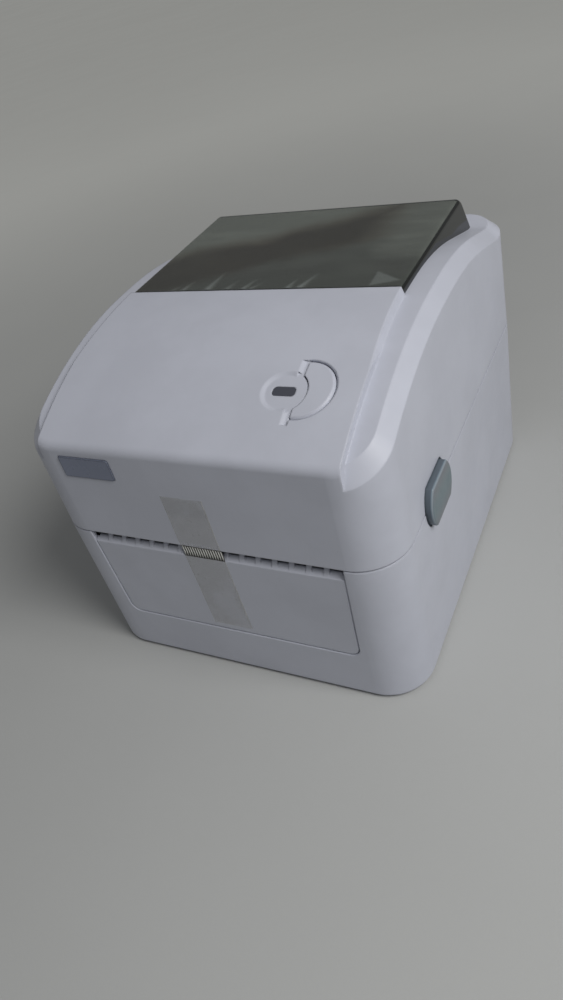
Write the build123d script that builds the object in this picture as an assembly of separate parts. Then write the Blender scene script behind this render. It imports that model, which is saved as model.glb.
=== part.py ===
from build123d import *
import math
import os

# Desktop label printer of the clamshell type. Millimetres, +Z up, front towards -Y.
# The origin is on the table, under the middle of the casing.

# Casing, driving dimensions
WIDTH = 180.0
DEPTH = 220.0
CORNER_R = 22.0
WALL = 2.5
FOOT_LIFT = 1.5
SEAM_Z = 85.8
SEAM_GAP = 0.3
COVER_STEP = 0.15
EDGE_CHAMFER = 0.35
DRAFT = 1.25
CLEAR = 0.3
FRONT = -DEPTH / 2
REAR = DEPTH / 2
FLOOR_Z = FOOT_LIFT + WALL
BASE_TOP_Z = SEAM_Z - SEAM_GAP / 2
COVER_LOW_Z = SEAM_Z + SEAM_GAP / 2

# Top of the cover: one large radius for the centre panel and for the shoulders below it
ARC_R = 205.0
ARC_APEX_Y = FRONT + 100.0
PANEL_APEX_Z = 162.5
SHOULDER_APEX_Z = 158.5
SHOULDER_CREST_Y = 2.0
SHOULDER_SLOPE = 15.2
SHOULDER_STRAIGHT = 28.0
SHOULDER_TAIL_R = 20.0
REAR_RISE = 4.0
PANEL_HALF = 71.5
PANEL_STEP = 1.3
NOSE_R = 5.0
BEVEL_ACROSS = 5.8
BEVEL_DOWN = 5.6

# Window
WINDOW_FRONT_Y = FRONT + 95.6
WINDOW_FRONT_Z = PANEL_APEX_Z - 0.4
WINDOW_CREST_Y = FRONT + 193.5
WINDOW_CREST_Z = 161.2
WINDOW_CREST_R = 6.0
WINDOW_REAR_Y = FRONT + 200.5
WINDOW_EDGE_R = 3.0
WINDOW_T = 2.2
WINDOW_RIM = 3.0
SKIRT_LEAN = 0.124

# Rear hinge
HINGE_Y = REAR - 7.0
HINGE_Z = SEAM_Z + 7.3
CURL_R = 7.0
KNUCKLE_R = 6.7
KNUCKLE_X = (40.0, 56.0)
BARREL_X = (31.0, 65.0)
PIN_R = 2.0
RUN_FIT = 0.05

# Cover release buttons, on the seam
RELEASE_Y = FRONT + 54.0
RELEASE_R = 14.6
RELEASE_HALF_H = 10.2
RELEASE_PROUD = 3.3
RELEASE_GAP = 0.9
ARM_X = (80.5, 83.0)
ARM_HALF_Y = 5.0
NOSE_Z = (104.3, 107.5)
CATCH_Z = (101.0, 104.0)
CATCH_X = 85.3
NOSE_X = 85.0

# Label path
SLOT_HALF = 66.5
INSERT_TOP_HALF = 66.0
INSERT_LOW_HALF = 64.0
INSERT_LOW_Z = 29.5
INSERT_TOP_Z = 82.0
INSERT_GROOVE = 0.4
INSERT_RECESS = 0.3
INSERT_FLANGE = 2.4
INSERT_FLANGE_Z = 64.0
LIP_LOW_Z = INSERT_TOP_Z - 2.4
LIP_BACK_Y = FRONT + 3.3
RAMP_PITCH = 8.2
RAMP_COUNT = 15
RAMP_HALF = 1.3
RAMP_TOP_Z = INSERT_TOP_Z + 1.6
PLATEN_Y = -96.0
PLATEN_Z = 77.5
PLATEN_R = 7.0
PLATEN_HALF = 56.0
SHAFT_R = 2.5

# Media tray
TRAY_HALF = 64.0
TRAY_T = 2.2
TRAY_OUT = TRAY_HALF + TRAY_T
DECK_Z = 82.3
ROLL_Y = 15.0
ROLL_Z = 92.0
ROLL_R = 56.0
REAR_DECK_Z = 66.0
FLANGE_Z = (81.8, 84.0)
CHANNEL_R = (8.8, 10.4)
BUSH_R = 4.5
SEAT_R = BUSH_R + RUN_FIT
SIDE_LOW_Z = 18.0
POST_X = 82.0
POST_Y = (-84.0, 80.0)
POST_R = 3.8

# Media guides
GUIDE_X = 57.0
GUIDE_T = 3.0
GUIDE_TRAVEL = 42.0
GUIDE_HEAD_R = 20.0
HUB_R = (11.5, 9.5)
HUB_LENGTH = 6.5
HUB_HOLLOW_R = 7.0
RACK_Z = (27.5, 31.5)
RACK_BACK = 5.0
NECK = 8.0
NECK_TOP_Z = 42.0
PINION_POST_R = 3.0
RACK_COVER_HALF = (60.0, 18.5)
RACK_COVER_BOSS_X = 52.0

# Gap sensor
SENSOR_Y = -62.0
SENSOR_Z = 76.0
SENSOR_TRAVEL = 30.0
SENSOR_RAIL_R = 1.5

# Gears
MODULE = 1.0
PLATEN_TEETH = 16
IDLER_TEETH = 30
MOTOR_TEETH = 12
GUIDE_TEETH = 16
PRESSURE = 20.0
BACKLASH = 0.45
MOTOR_Y = -77.0
MOTOR_Z = 39.0
MOTOR_SIZE = 42.0
MOTOR_HOLES = 15.5
PILOT_R = 11.0
IDLER_PIN_R = 2.0
MOTOR_SHAFT_R = 2.5
GEAR_X = (-75.5, -70.5)

# Feed button and lamp, in a dish on the top
DISH_X = 41.3
DISH_Y = -77.7
DISH_R = 10.0
DISH_DEPTH = 0.9
DISH_SLOPE = 2.0
LAMP_SIZE = (10.2, 4.4)
LAMP_AT = (-0.4, 0.2)
LAMP_R = 1.7
FEED_X = 7.0
FEED_Y = 1.5
FEED_R = 14.2
FEED_EDGE = 6.4
FEED_GAP = 0.45
FEED_BEVEL = 0.9
FEED_STEP_X = 3.0
FEED_STEP_HALF = 15.9

# Rear sockets and switch, in one recess
IO_X = (-74.0, 68.0)
IO_Z = (7.0, 33.0)
IO_DEPTH = 5.0
IO_FACE_Y = REAR - IO_DEPTH
BOARD_X = (-68.0, 34.0)
BOARD_Y = (36.0, 100.0)
BOARD_Z = 9.0
BOARD_T = 1.6
USB_X = -20.0
JACK_X = -46.0
SWITCH_X = 50.0
SWITCH_Z = 20.0
SWITCH_TILT = 8.0
SWITCH_PIVOT_Y = IO_FACE_Y - 1.0
SWITCH_BODY = (9.4, 6.3)
SWITCH_ROOM = (8.4, 5.3)
SWITCH_FRAME = (10.8, 7.6)
BOARD_STANDS_X = (-63.0, 29.0)
BOARD_STANDS_Y = (41.0, 88.0)

LOW = (Align.CENTER, Align.CENTER, Align.MIN)

# Lower casing details
FANFOLD_Z = 71.5
FANFOLD_H = 6.0
FANFOLD_HALF = 60.0
FOOT_X = 68.0
FOOT_Y = 88.0
FOOT_R = 7.5
VENT_COUNT = 9
VENT_PITCH = 11.0
RACK_COVER_Z = (24.5, 26.5)
GEAR_PLATE_X = (66.2, 67.4)
SPRING_Z = 76.0

# Inside the cover
LINER_HALF = 66.0
LINER_Y = (-104.5, -66.0)
LINER_Z = 102.0
LINER_BOSSES = ((-58.0, -72.0), (18.0, -72.0), (-58.0, -99.0), (58.0, -99.0))
HEAD_SPRING_X = 32.0
HEAD_SPRING_Y = -89.0
HEAD_LOW_Z = PLATEN_Z + PLATEN_R + CLEAR
HEAD_TOP_Z = 91.0
TEAR_HALF = 60.0
TEAR_Y = (FRONT + 3.2, FRONT + 4.0)
TEAR_Z = (86.4, 95.0)
TEAR_PITCH = 1.0
TEAR_DEPTH = 0.8
TEAR_STAKES_X = (-50.0, -25.0, 0.0, 25.0, 50.0)
TEAR_STAKE_Z = 92.5
BADGE_X = (-63.5, -35.5)
BADGE_Z = (121.0, 132.0)
BUTTON_BOARD = 14.0
BUTTON_BOARD_SIZE = (42.0, 30.0)
KEY_STEM = (14.0, 1.5)
RIBS_X = (-60.0, -30.0, 0.0, 68.0)
RIB_HEIGHT = 4.0
CORNER_Y = WIDTH / 2 - CORNER_R
BUTTON_BOARD_POSTS = ((-13.0, -12.0), (-13.0, 12.0), (23.0, -12.0))

# Parts on the main board: x, y, width, length, height
BOARD_BLOCKS = (
    (-10.0, 62.0, 12.0, 12.0, 1.4),
    (12.0, 56.0, 8.0, 8.0, 1.2),
    (-28.0, 66.0, 9.0, 6.0, 1.1),
    (-50.0, 46.0, 16.0, 5.5, 7.0),
    (-26.0, 42.0, 12.0, 5.5, 7.0),
    (4.0, 42.0, 18.0, 5.5, 7.0),
    (-33.0, 84.0, 9.0, 9.0, 5.0),
    (18.0, 74.0, 7.0, 5.0, 2.5),
)


# Basic shapes


def block(x, y, z):
    """Box from three (low, high) pairs."""
    size = [high - low for low, high in (x, y, z)]
    middle = [(high + low) / 2 for low, high in (x, y, z)]
    return Pos(*middle) * Box(*size)


def rod_x(radius, x, y, z):
    """Cylinder along X between the two values of x."""
    return Pos((x[0] + x[1]) / 2, y, z) * Rot(0, 90, 0) * Cylinder(radius, x[1] - x[0])


def rod_z(radius, x, y, z):
    """Cylinder along Z between the two values of z."""
    return Pos(x, y, (z[0] + z[1]) / 2) * Cylinder(radius, z[1] - z[0])


def across(sketch, x):
    """Side-view sketch, in Y and Z, extruded along X between the two values of x."""
    return extrude(Plane.YZ.offset(x[0]) * sketch, x[1] - x[0])


def deep(sketch, y):
    """Front-view sketch, in X and Z, extruded along Y between the two values of y."""
    return extrude(Plane.XZ.offset(-y[1]) * sketch, y[1] - y[0])


def upright(sketch, z):
    """Plan sketch, in X and Y, extruded along Z between the two values of z."""
    return extrude(Plane.XY.offset(z[0]) * sketch, z[1] - z[0])


def outline(*points):
    """Face with straight sides."""
    return make_face(Polyline(*points, close=True))


def both_sides(solid):
    """The solid and its mirror image in X."""
    return solid + mirror(solid, Plane.YZ)


def save(name, solid):
    """Write one sub-part."""
    solid.label = name
    export_step(solid, f"parts/{name}.step")


# Gear teeth


def involute_roll(radius, base_r):
    """Angle between the start of an involute and its point at this radius."""
    angle = math.acos(min(1.0, base_r / radius))
    return math.tan(angle) - angle


def gear_face(teeth, bore_r, phase=0.0):
    """Spur gear: one arc for each flank, tip and root. The first tooth points at phase."""
    pitch_r = MODULE * teeth / 2
    tip_r = pitch_r + 0.9 * MODULE
    root_r = pitch_r - 1.25 * MODULE
    base_r = pitch_r * math.cos(math.radians(PRESSURE))
    foot_r = max(base_r, root_r + 0.1 * MODULE)
    half = (math.pi * MODULE / 2 - BACKLASH) / 2 / pitch_r + involute_roll(pitch_r, base_r)
    flank = [(r, half - involute_roll(r, base_r)) for r in (foot_r, (foot_r + tip_r) / 2, tip_r)]
    foot = flank[0][1]
    step = 2 * math.pi / teeth

    def at(radius, angle):
        return (radius * math.cos(angle), radius * math.sin(angle))

    edges = []
    for number in range(teeth):
        middle = math.radians(phase) + number * step
        rise = [at(r, middle - a) for r, a in flank]
        fall = [at(r, middle + a) for r, a in reversed(flank)]
        root_start = at(root_r, middle + foot)
        root_end = at(root_r, middle + step - foot)
        edges.append(Line(at(root_r, middle - foot), rise[0]))
        edges.append(ThreePointArc(*rise))
        edges.append(ThreePointArc(rise[-1], at(tip_r, middle), fall[0]))
        edges.append(ThreePointArc(*fall))
        edges.append(Line(fall[-1], root_start))
        edges.append(ThreePointArc(root_start, at(root_r, middle + step / 2), root_end))
    return make_face(edges) - Circle(bore_r)


def rack_face(first, last, back):
    """Straight rack from x = first to last. Teeth point to +Y and one gap is centred on x = 0."""
    pitch = math.pi * MODULE
    half = (pitch / 2 - BACKLASH) / 2
    lean = math.tan(math.radians(PRESSURE))
    tip = 0.9 * MODULE
    root = 1.25 * MODULE
    points = [(first, -root)]
    for number in range(math.ceil(first / pitch), math.floor(last / pitch)):
        middle = (number + 0.5) * pitch
        points.append((middle - half - lean * root, -root))
        points.append((middle - half + lean * tip, tip))
        points.append((middle + half - lean * tip, tip))
        points.append((middle + half + lean * root, -root))
    points += [(last, -root), (last, -root - back), (first, -root - back)]
    return outline(*points)


# Outlines that several pieces share


def footprint(inset):
    """Casing seen from above, pulled in by inset."""
    return RectangleRounded(WIDTH - 2 * inset, DEPTH - 2 * inset, CORNER_R - inset)


def arc_z(y, apex_z):
    """Height of the large radius at y."""
    return apex_z - ARC_R + math.sqrt(ARC_R**2 - (y - ARC_APEX_Y) ** 2)


def shoulder_side(inset):
    """Area below the shoulders in the side view."""
    apex_z = SHOULDER_APEX_Z - inset
    start_y = FRONT - 10.0
    middle_y = (start_y + ARC_APEX_Y) / 2
    low_z = SEAM_Z - 20.0
    start = (start_y, arc_z(start_y, apex_z))
    rise = ThreePointArc(start, (middle_y, arc_z(middle_y, apex_z)), (ARC_APEX_Y, apex_z))
    crest = Line(rise @ 1, (SHOULDER_CREST_Y, apex_z))
    fall = JernArc(crest @ 1, (1, 0), ARC_R, -SHOULDER_SLOPE)
    slope = PolarLine(fall @ 1, SHOULDER_STRAIGHT, -SHOULDER_SLOPE)
    tail = JernArc(slope @ 1, slope % 1, SHOULDER_TAIL_R + inset, SHOULDER_SLOPE + REAR_RISE)
    end_y = REAR + 10.0
    end_z = (tail @ 1).Y + (end_y - (tail @ 1).X) * math.tan(math.radians(REAR_RISE))
    lip = Line(tail @ 1, (end_y, end_z))
    rest = Polyline(lip @ 1, (end_y, low_z), (start_y, low_z), start)
    return make_face([rise, crest, fall, slope, tail, lip, rest])


def panel_side(inset, rear_y):
    """Area below the centre panel in the side view, as far back as rear_y."""
    apex_z = PANEL_APEX_Z - inset
    low_z = SEAM_Z + 30.0
    start_y = FRONT - 10.0
    middle_y = (start_y + rear_y) / 2
    start = (start_y, arc_z(start_y, apex_z))
    rear = (rear_y, arc_z(rear_y, apex_z))
    top = ThreePointArc(start, (middle_y, arc_z(middle_y, apex_z)), rear)
    rest = Polyline(rear, (rear_y, low_z), (start_y, low_z), start)
    return make_face([top, rest])


def window_side(inset):
    """Window hump in the side view."""
    low_z = SEAM_Z + 40.0
    front = (WINDOW_FRONT_Y + inset, WINDOW_FRONT_Z - inset)
    crest = (WINDOW_CREST_Y - inset, WINDOW_CREST_Z - inset)
    low_rear = (WINDOW_REAR_Y + 7.0 - inset, low_z)
    face = outline((WINDOW_FRONT_Y + inset, low_z), front, crest, low_rear)
    corner = face.vertices().sort_by_distance(crest)[0]
    return fillet(corner, WINDOW_CREST_R - inset / 2)


def release_outline(grow):
    """Release button in the side view: a disc with a flat top and bottom."""
    disc = Circle(RELEASE_R + grow)
    band = Rectangle(4 * RELEASE_R, 2 * (RELEASE_HALF_H + grow))
    return Pos(RELEASE_Y, SEAM_Z) * (disc & band)


def insert_outline(grow, top_z):
    """Front insert: slightly narrower at the bottom, with rounded lower corners."""
    low = INSERT_LOW_HALF + grow
    top = INSERT_TOP_HALF + grow
    low_z = INSERT_LOW_Z - grow
    face = outline((-low, low_z), (low, low_z), (top, top_z), (-top, top_z))
    return fillet(face.vertices().group_by(Axis.Y)[0], 5.0 + grow)


def dish_plane():
    """Plane on the cover's top at the lamp, square to the surface."""
    lean = math.asin((DISH_Y - ARC_APEX_Y) / ARC_R)
    origin = (DISH_X, DISH_Y, arc_z(DISH_Y, PANEL_APEX_Z))
    return Plane(origin=origin, x_dir=(1, 0, 0), z_dir=(0, math.sin(lean), math.cos(lean)))


def under_top(depth):
    """Everything below the centre panel's large radius, less depth."""
    centre_z = PANEL_APEX_Z - ARC_R
    return rod_x(ARC_R - depth, (-PANEL_HALF, PANEL_HALF), ARC_APEX_Y, centre_z)


def feed_outline(grow):
    """Crescent of the feed button, in the dish plane."""
    disc = Pos(FEED_X, FEED_Y) * Circle(FEED_R + grow)
    half = Pos(FEED_EDGE - grow + 20.0, FEED_Y) * Rectangle(40.0, 40.0)
    return (disc & half) - Circle(DISH_R + CLEAR - grow)


# Lower casing


def knuckle():
    """Hinge knuckle on a stem that grows from the rear wall."""
    stem_z = (SEAM_Z - 8.0, HINGE_Z)
    stem = block(KNUCKLE_X, (HINGE_Y - KNUCKLE_R, HINGE_Y + 2.5), stem_z)
    foot = block(KNUCKLE_X, (HINGE_Y - KNUCKLE_R, REAR - WALL), (stem_z[0], BASE_TOP_Z))
    barrel = rod_x(KNUCKLE_R, KNUCKLE_X, HINGE_Y, HINGE_Z)
    bore = rod_x(PIN_R + RUN_FIT, (KNUCKLE_X[0] - 1, KNUCKLE_X[1] + 1), HINGE_Y, HINGE_Z)
    return stem + foot + barrel - bore


def lower_housing():
    outer = upright(footprint(0), (FOOT_LIFT, BASE_TOP_Z))
    outer = fillet(outer.edges().group_by(Axis.Z)[0], 1.2)
    outer = chamfer(outer.edges().group_by(Axis.Z)[-1], EDGE_CHAMFER)
    shell = outer - upright(footprint(WALL), (FLOOR_Z, SEAM_Z + 1))

    # Walled recess at the rear for the sockets and the switch
    tub_x = (IO_X[0] - WALL, IO_X[1] + WALL)
    shell += block(tub_x, (IO_FACE_Y - WALL, REAR - WALL), (FLOOR_Z, IO_Z[1] + WALL))
    recess = block(IO_X, (IO_FACE_Y, REAR + 1), IO_Z)
    shell -= fillet(recess.edges().filter_by(Axis.Y), 3.0)
    shell -= io_cutouts()

    # Posts over the four screw wells
    for x in (-POST_X, POST_X):
        for y in POST_Y:
            shell += rod_z(5.0, x, y, (FLOOR_Z, 20.0))
            shell -= rod_z(3.4, x, y, (0, 16.0))
            shell -= rod_z(1.7, x, y, (15.0, 21.0))

    # Board stands and floor ribs
    for x in BOARD_STANDS_X:
        for y in BOARD_STANDS_Y:
            shell += rod_z(3.0, x, y, (FLOOR_Z, BOARD_Z)) - rod_z(1.3, x, y, (FLOOR_Z, 10))
    for y in (-50.0, -5.0, 25.0):
        shell += block((-WIDTH / 2 + 1, WIDTH / 2 - 1), (y, y + 1.6), (FLOOR_Z, FLOOR_Z + 4.0))
    for x in (-30.0, 30.0):
        shell += block((x, x + 1.6), (FRONT + 1, 25.0), (FLOOR_Z, FLOOR_Z + 4.0))

    # Front opening for the insert, and the label slot above it
    mouth = insert_outline(INSERT_GROOVE, SEAM_Z + 2)
    shell -= deep(mouth, (FRONT - 1, FRONT + WALL + 1))
    shell -= extrude(Plane.XZ.offset(-FRONT - EDGE_CHAMFER) * mouth, EDGE_CHAMFER + 0.2, taper=-45)

    # Lower halves of the release button holes
    hole = across(release_outline(RELEASE_GAP), (WIDTH / 2 - 2 * WALL, WIDTH / 2 + 1))
    shell -= both_sides(hole)

    # Rear slot for fan-fold media
    slot = Pos(0, FANFOLD_Z) * SlotOverall(2 * FANFOLD_HALF, FANFOLD_H)
    shell -= deep(slot, (REAR - WALL - 1, REAR + 1))

    # Vents and foot wells in the floor
    for number in range(VENT_COUNT):
        x = (number - (VENT_COUNT - 1) / 2) * VENT_PITCH
        for y, length in ((68.0, 34.0), (-80.0, 26.0)):
            shell -= upright(Pos(x, y) * SlotOverall(length, 2.6, 90), (0, FLOOR_Z + 1))
    for x in (-FOOT_X, FOOT_X):
        for y in (-FOOT_Y, FOOT_Y):
            shell -= rod_z(FOOT_R + 0.1, x, y, (0, FOOT_LIFT + 1.0))
    return shell + both_sides(knuckle())


def io_cutouts():
    """Holes in the rear recess for the power jack, the data socket and the switch."""
    y = (IO_FACE_Y - WALL - 1, IO_FACE_Y + 1)
    z = BOARD_Z + BOARD_T
    jack = block((JACK_X - 4.8, JACK_X + 4.8), y, (z - 0.3, z + 11.3))
    usb = block((USB_X - 6.3, USB_X + 6.3), y, (z - 0.3, z + 11.2))
    switch = block((SWITCH_X - 9.6, SWITCH_X + 9.6), y, (SWITCH_Z - 6.5, SWITCH_Z + 6.5))
    return jack + usb + switch


def rubber_feet():
    feet = []
    for x in (-FOOT_X, FOOT_X):
        for y in (-FOOT_Y, FOOT_Y):
            foot = rod_z(FOOT_R, x, y, (0, FOOT_LIFT + 1.0))
            feet.append(chamfer(foot.edges().group_by(Axis.Z)[0], 0.6))
    return Compound(children=feet)


def front_panel():
    """Insert below the label slot. Its lip slopes back to the roller and carries small ramps."""
    plate = deep(insert_outline(0, INSERT_TOP_Z), (FRONT + INSERT_RECESS, FRONT + WALL))
    plate = chamfer(plate.faces().sort_by(Axis.Y)[0].edges(), EDGE_CHAMFER)
    inside = FRONT + WALL
    flange = deep(insert_outline(INSERT_FLANGE, INSERT_FLANGE_Z), (inside + 0.05, inside + 1.6))
    core = deep(insert_outline(-1.5, INSERT_FLANGE_Z - 1.0), (inside - 0.5, inside + 1.6))
    lip_x = (-SLOT_HALF + 2.0, SLOT_HALF - 2.0)
    lip = block(lip_x, (FRONT + 1.0, LIP_BACK_Y), (LIP_LOW_Z - 1.5, INSERT_TOP_Z))
    above = outline(
        (FRONT - 1, LIP_LOW_Z),
        (FRONT + INSERT_RECESS, LIP_LOW_Z),
        (LIP_BACK_Y, INSERT_TOP_Z),
        (LIP_BACK_Y, INSERT_TOP_Z + 1),
        (FRONT - 1, INSERT_TOP_Z + 1),
    )
    panel = plate + flange + core + lip - across(above, (-WIDTH / 2, WIDTH / 2))
    ramp = outline(
        (FRONT + INSERT_RECESS + 0.2, LIP_LOW_Z),
        (LIP_BACK_Y, RAMP_TOP_Z),
        (LIP_BACK_Y, LIP_LOW_Z),
    )
    for number in range(RAMP_COUNT):
        x = (number - (RAMP_COUNT - 1) / 2) * RAMP_PITCH
        panel += across(ramp, (x - RAMP_HALF, x + RAMP_HALF))
    return panel


# Media tray


def inner_frame():
    """Platen channel, deck, roll trough, rear deck, side plates and flange in one moulding."""
    x = (-TRAY_OUT, TRAY_OUT)
    channel_in, channel_out = CHANNEL_R
    ring = Pos(PLATEN_Y, PLATEN_Z) * (Circle(channel_out) - Circle(channel_in))
    below = Pos(PLATEN_Y, PLATEN_Z - 15) * Rectangle(40, 30)
    profile = ring & below
    for side in (-1, 1):
        middle = PLATEN_Y + side * (channel_in + channel_out) / 2
        lip = Pos(middle, (PLATEN_Z + DECK_Z) / 2) * Rectangle(channel_out - channel_in, DECK_Z - PLATEN_Z)
        profile += lip
    trough_front = ROLL_Y - math.sqrt(ROLL_R**2 - (ROLL_Z - DECK_Z) ** 2)
    trough_rear = ROLL_Y + math.sqrt(ROLL_R**2 - (ROLL_Z - REAR_DECK_Z) ** 2)
    trough = Pos(ROLL_Y, ROLL_Z) * (Circle(ROLL_R + TRAY_T) - Circle(ROLL_R))
    front_part = Pos(ROLL_Y - 50, DECK_Z - 50) * Rectangle(100, 100)
    rear_part = Pos(ROLL_Y + 50, REAR_DECK_Z - 50) * Rectangle(100, 100)
    profile += trough & (front_part + rear_part)
    deck_start = PLATEN_Y + channel_in
    profile += outline(
        (deck_start, DECK_Z - TRAY_T),
        (deck_start, DECK_Z),
        (trough_front, DECK_Z),
        (trough_front, DECK_Z - TRAY_T),
    )
    profile += outline(
        (trough_rear, REAR_DECK_Z - TRAY_T),
        (trough_rear, REAR_DECK_Z),
        (IO_FACE_Y, REAR_DECK_Z),
        (IO_FACE_Y, REAR_DECK_Z - TRAY_T),
    )
    tray = across(profile, x)

    # Side plates and the flange around the bay
    plate_y = FRONT + WALL + CLEAR + 0.8
    plate = outline(
        (plate_y, FLANGE_Z[1]),
        (plate_y, INSERT_FLANGE_Z + 2.0),
        (FRONT + 6.0, INSERT_FLANGE_Z),
        (FRONT + 6.0, SIDE_LOW_Z + 6.0),
        (-50.0, SIDE_LOW_Z),
        (40.0, SIDE_LOW_Z + 6.5),
        (IO_FACE_Y, REAR_DECK_Z - 12.0),
        (IO_FACE_Y, FLANGE_Z[1]),
    )
    tray += both_sides(across(plate, (TRAY_HALF, TRAY_OUT)))
    rim = upright(footprint(WALL + CLEAR), FLANGE_Z)
    above = (FLANGE_Z[0] - 0.8, FLANGE_Z[1] + 6.0)
    rim -= block(x, (-DEPTH, DEPTH), above)
    tray += rim
    arm_room = (RELEASE_Y - RELEASE_R - 3.9, RELEASE_Y + RELEASE_R + 3.9)
    tray -= both_sides(block((ARM_X[0] - 4.0, WIDTH), arm_room, above))
    tray -= block((-81.0, -TRAY_OUT), (-DEPTH, PLATEN_Y + 12.5), above)
    hinge_room = (HINGE_Y - KNUCKLE_R - 1.0, REAR)
    tray -= both_sides(block((KNUCKLE_X[0] - 1.0, TRAY_OUT + 1.0), hinge_room, (75.0, 90.0)))

    # Screw posts under the flange
    for px in (-POST_X, POST_X):
        for py in POST_Y:
            tray += rod_z(POST_R, px, py, (20.0, FLANGE_Z[0] + 0.5))
            tray -= rod_z(1.55, px, py, (19.0, 34.0))

    # Walls that guide the release arms
    for low in (-ARM_HALF_Y - 2.2, ARM_HALF_Y + 0.4):
        cheek_y = (RELEASE_Y + low, RELEASE_Y + low + 1.8)
        tray += both_sides(block((TRAY_HALF + 1, 84.5), cheek_y, (64.0, 72.5)))

    # Roller seats, open at the top, and the holes of the drive side
    through = (-TRAY_OUT - 4.0, TRAY_OUT + 4.0)
    seat = rod_x(SEAT_R, through, PLATEN_Y, PLATEN_Z)
    seat += block(through, (PLATEN_Y - SEAT_R, PLATEN_Y + SEAT_R), (PLATEN_Z, 90.0))
    tray -= seat - block((-TRAY_HALF, TRAY_HALF), (FRONT, REAR), (0, 100.0))
    left = (-TRAY_OUT - 4.0, -TRAY_HALF + 4.0)
    tray -= across(motor_holes(), left)

    # Slots for the guide necks, the sensor and its rail
    for side in (-1, 1):
        neck_y = ROLL_Y + side * (MODULE * GUIDE_TEETH / 2 + 1.25 + RACK_BACK / 2)
        reach = NECK / 2 + 0.5
        slot_x = sorted((side * (GUIDE_X + reach), side * (GUIDE_X - GUIDE_TRAVEL - reach)))
        tray -= block(slot_x, (neck_y - 3.6, neck_y + 3.6), (RACK_Z[1] + 1.5, NECK_TOP_Z + 3.0))
    slot_half = SENSOR_TRAVEL + 8.5
    tray -= block((-slot_half, slot_half), (SENSOR_Y - 4.0, SENSOR_Y + 4.0), (DECK_Z - 3.3, DECK_Z + 1.7))
    tray -= rod_x(SENSOR_RAIL_R + RUN_FIT, through, SENSOR_Y, SENSOR_Z)

    # Post for the guide pinion and bosses for the rack cover
    tray += rod_z(PINION_POST_R, 0, ROLL_Y, (RACK_COVER_Z[1], 35.0))
    for bx in (-RACK_COVER_BOSS_X, RACK_COVER_BOSS_X):
        tray += rod_z(3.2, bx, ROLL_Y, (RACK_COVER_Z[1], 45.0)) - trough_space()
        tray -= rod_z(1.3, bx, ROLL_Y, (20.0, RACK_COVER_Z[1] + 6.0))
    return tray


def motor_holes():
    """Holes in the drive side for the motor's pilot, its screws and the idler's pin, in Y and Z."""
    holes = Pos(MOTOR_Y, MOTOR_Z) * Circle(PILOT_R + CLEAR)
    for dy in (-MOTOR_HOLES, MOTOR_HOLES):
        for dz in (-MOTOR_HOLES, MOTOR_HOLES):
            holes += Pos(MOTOR_Y + dy, MOTOR_Z + dz) * Circle(1.6)
    return holes + Pos(*idler_centre()) * Circle(IDLER_PIN_R + 0.02)


def trough_space():
    """The room of the label roll."""
    return rod_x(ROLL_R, (-TRAY_HALF, TRAY_HALF), ROLL_Y, ROLL_Z)


def rack_cover():
    """Plate that holds the racks and the pinion up against the tray."""
    half_x, half_y = RACK_COVER_HALF
    plate = block((-half_x, half_x), (ROLL_Y - half_y, ROLL_Y + half_y), RACK_COVER_Z)
    plate = fillet(plate.edges().filter_by(Axis.Z), 4.0)
    for side in (-1, 1):
        y = sorted((ROLL_Y + side * 14.6, ROLL_Y + side * 16.4))
        plate += block((-half_x, half_x), y, (RACK_COVER_Z[1], RACK_Z[1]))
    for x in (-RACK_COVER_BOSS_X, RACK_COVER_BOSS_X):
        plate -= rod_z(1.6, x, ROLL_Y, (20.0, 30.0))
    return plate


def media_guide():
    """Left roll holder: ribbed upright with a tapered hub, neck and rack."""
    x = (-GUIDE_X - GUIDE_T / 2, -GUIDE_X + GUIDE_T / 2)
    head = Pos(ROLL_Y, ROLL_Z) * Circle(GUIDE_HEAD_R)
    leg = outline(
        (ROLL_Y - 19.0, ROLL_Z - 4),
        (ROLL_Y + 19.0, ROLL_Z - 4),
        (ROLL_Y + 24.0, ROLL_Z - 60),
        (ROLL_Y - 24.0, ROLL_Z - 60),
    )
    reach = Pos(ROLL_Y, ROLL_Z) * Circle(ROLL_R - CLEAR)
    guide = across((head + leg) & reach, x)
    guide += Pos(x[1], ROLL_Y, ROLL_Z) * Rot(0, 90, 0) * Cone(*HUB_R, HUB_LENGTH, align=LOW)
    guide -= rod_x(HUB_HOLLOW_R, (x[0] - 1.0, x[1] + HUB_LENGTH - 2.0), ROLL_Y, ROLL_Z)
    rib_low, rib_high = ROLL_Z - 52.0, ROLL_Z - GUIDE_HEAD_R
    inner_x = x[0] + 0.5
    rib = outline((x[0] - 4.6, rib_low), (x[0], rib_high), (inner_x, rib_high), (inner_x, rib_low))
    for rib_y in (ROLL_Y - 12.0, ROLL_Y + 12.0):
        guide += deep(rib, (rib_y - 0.9, rib_y + 0.9)) & across(reach, (-TRAY_HALF, 0))
    pitch_r = MODULE * GUIDE_TEETH / 2
    back_y = ROLL_Y - pitch_r - 1.25 * MODULE - RACK_BACK
    neck_x = (-GUIDE_X - NECK / 2, -GUIDE_X + NECK / 2)
    guide += block(neck_x, (back_y + 0.3, back_y + RACK_BACK - 0.3), (RACK_Z[0] + 1.0, NECK_TOP_Z))
    rack = Pos(0, ROLL_Y - pitch_r) * rack_face(-GUIDE_X - NECK / 2, 9.6, RACK_BACK)
    return guide + upright(rack, RACK_Z)


def guide_pinion():
    """Pinion with a tooth in the middle gap of each rack."""
    face = gear_face(GUIDE_TEETH, PINION_POST_R + RUN_FIT, -90.0)
    return upright(Pos(0, ROLL_Y) * face, (RACK_Z[0] + 0.2, RACK_Z[1] - 0.2))


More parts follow.
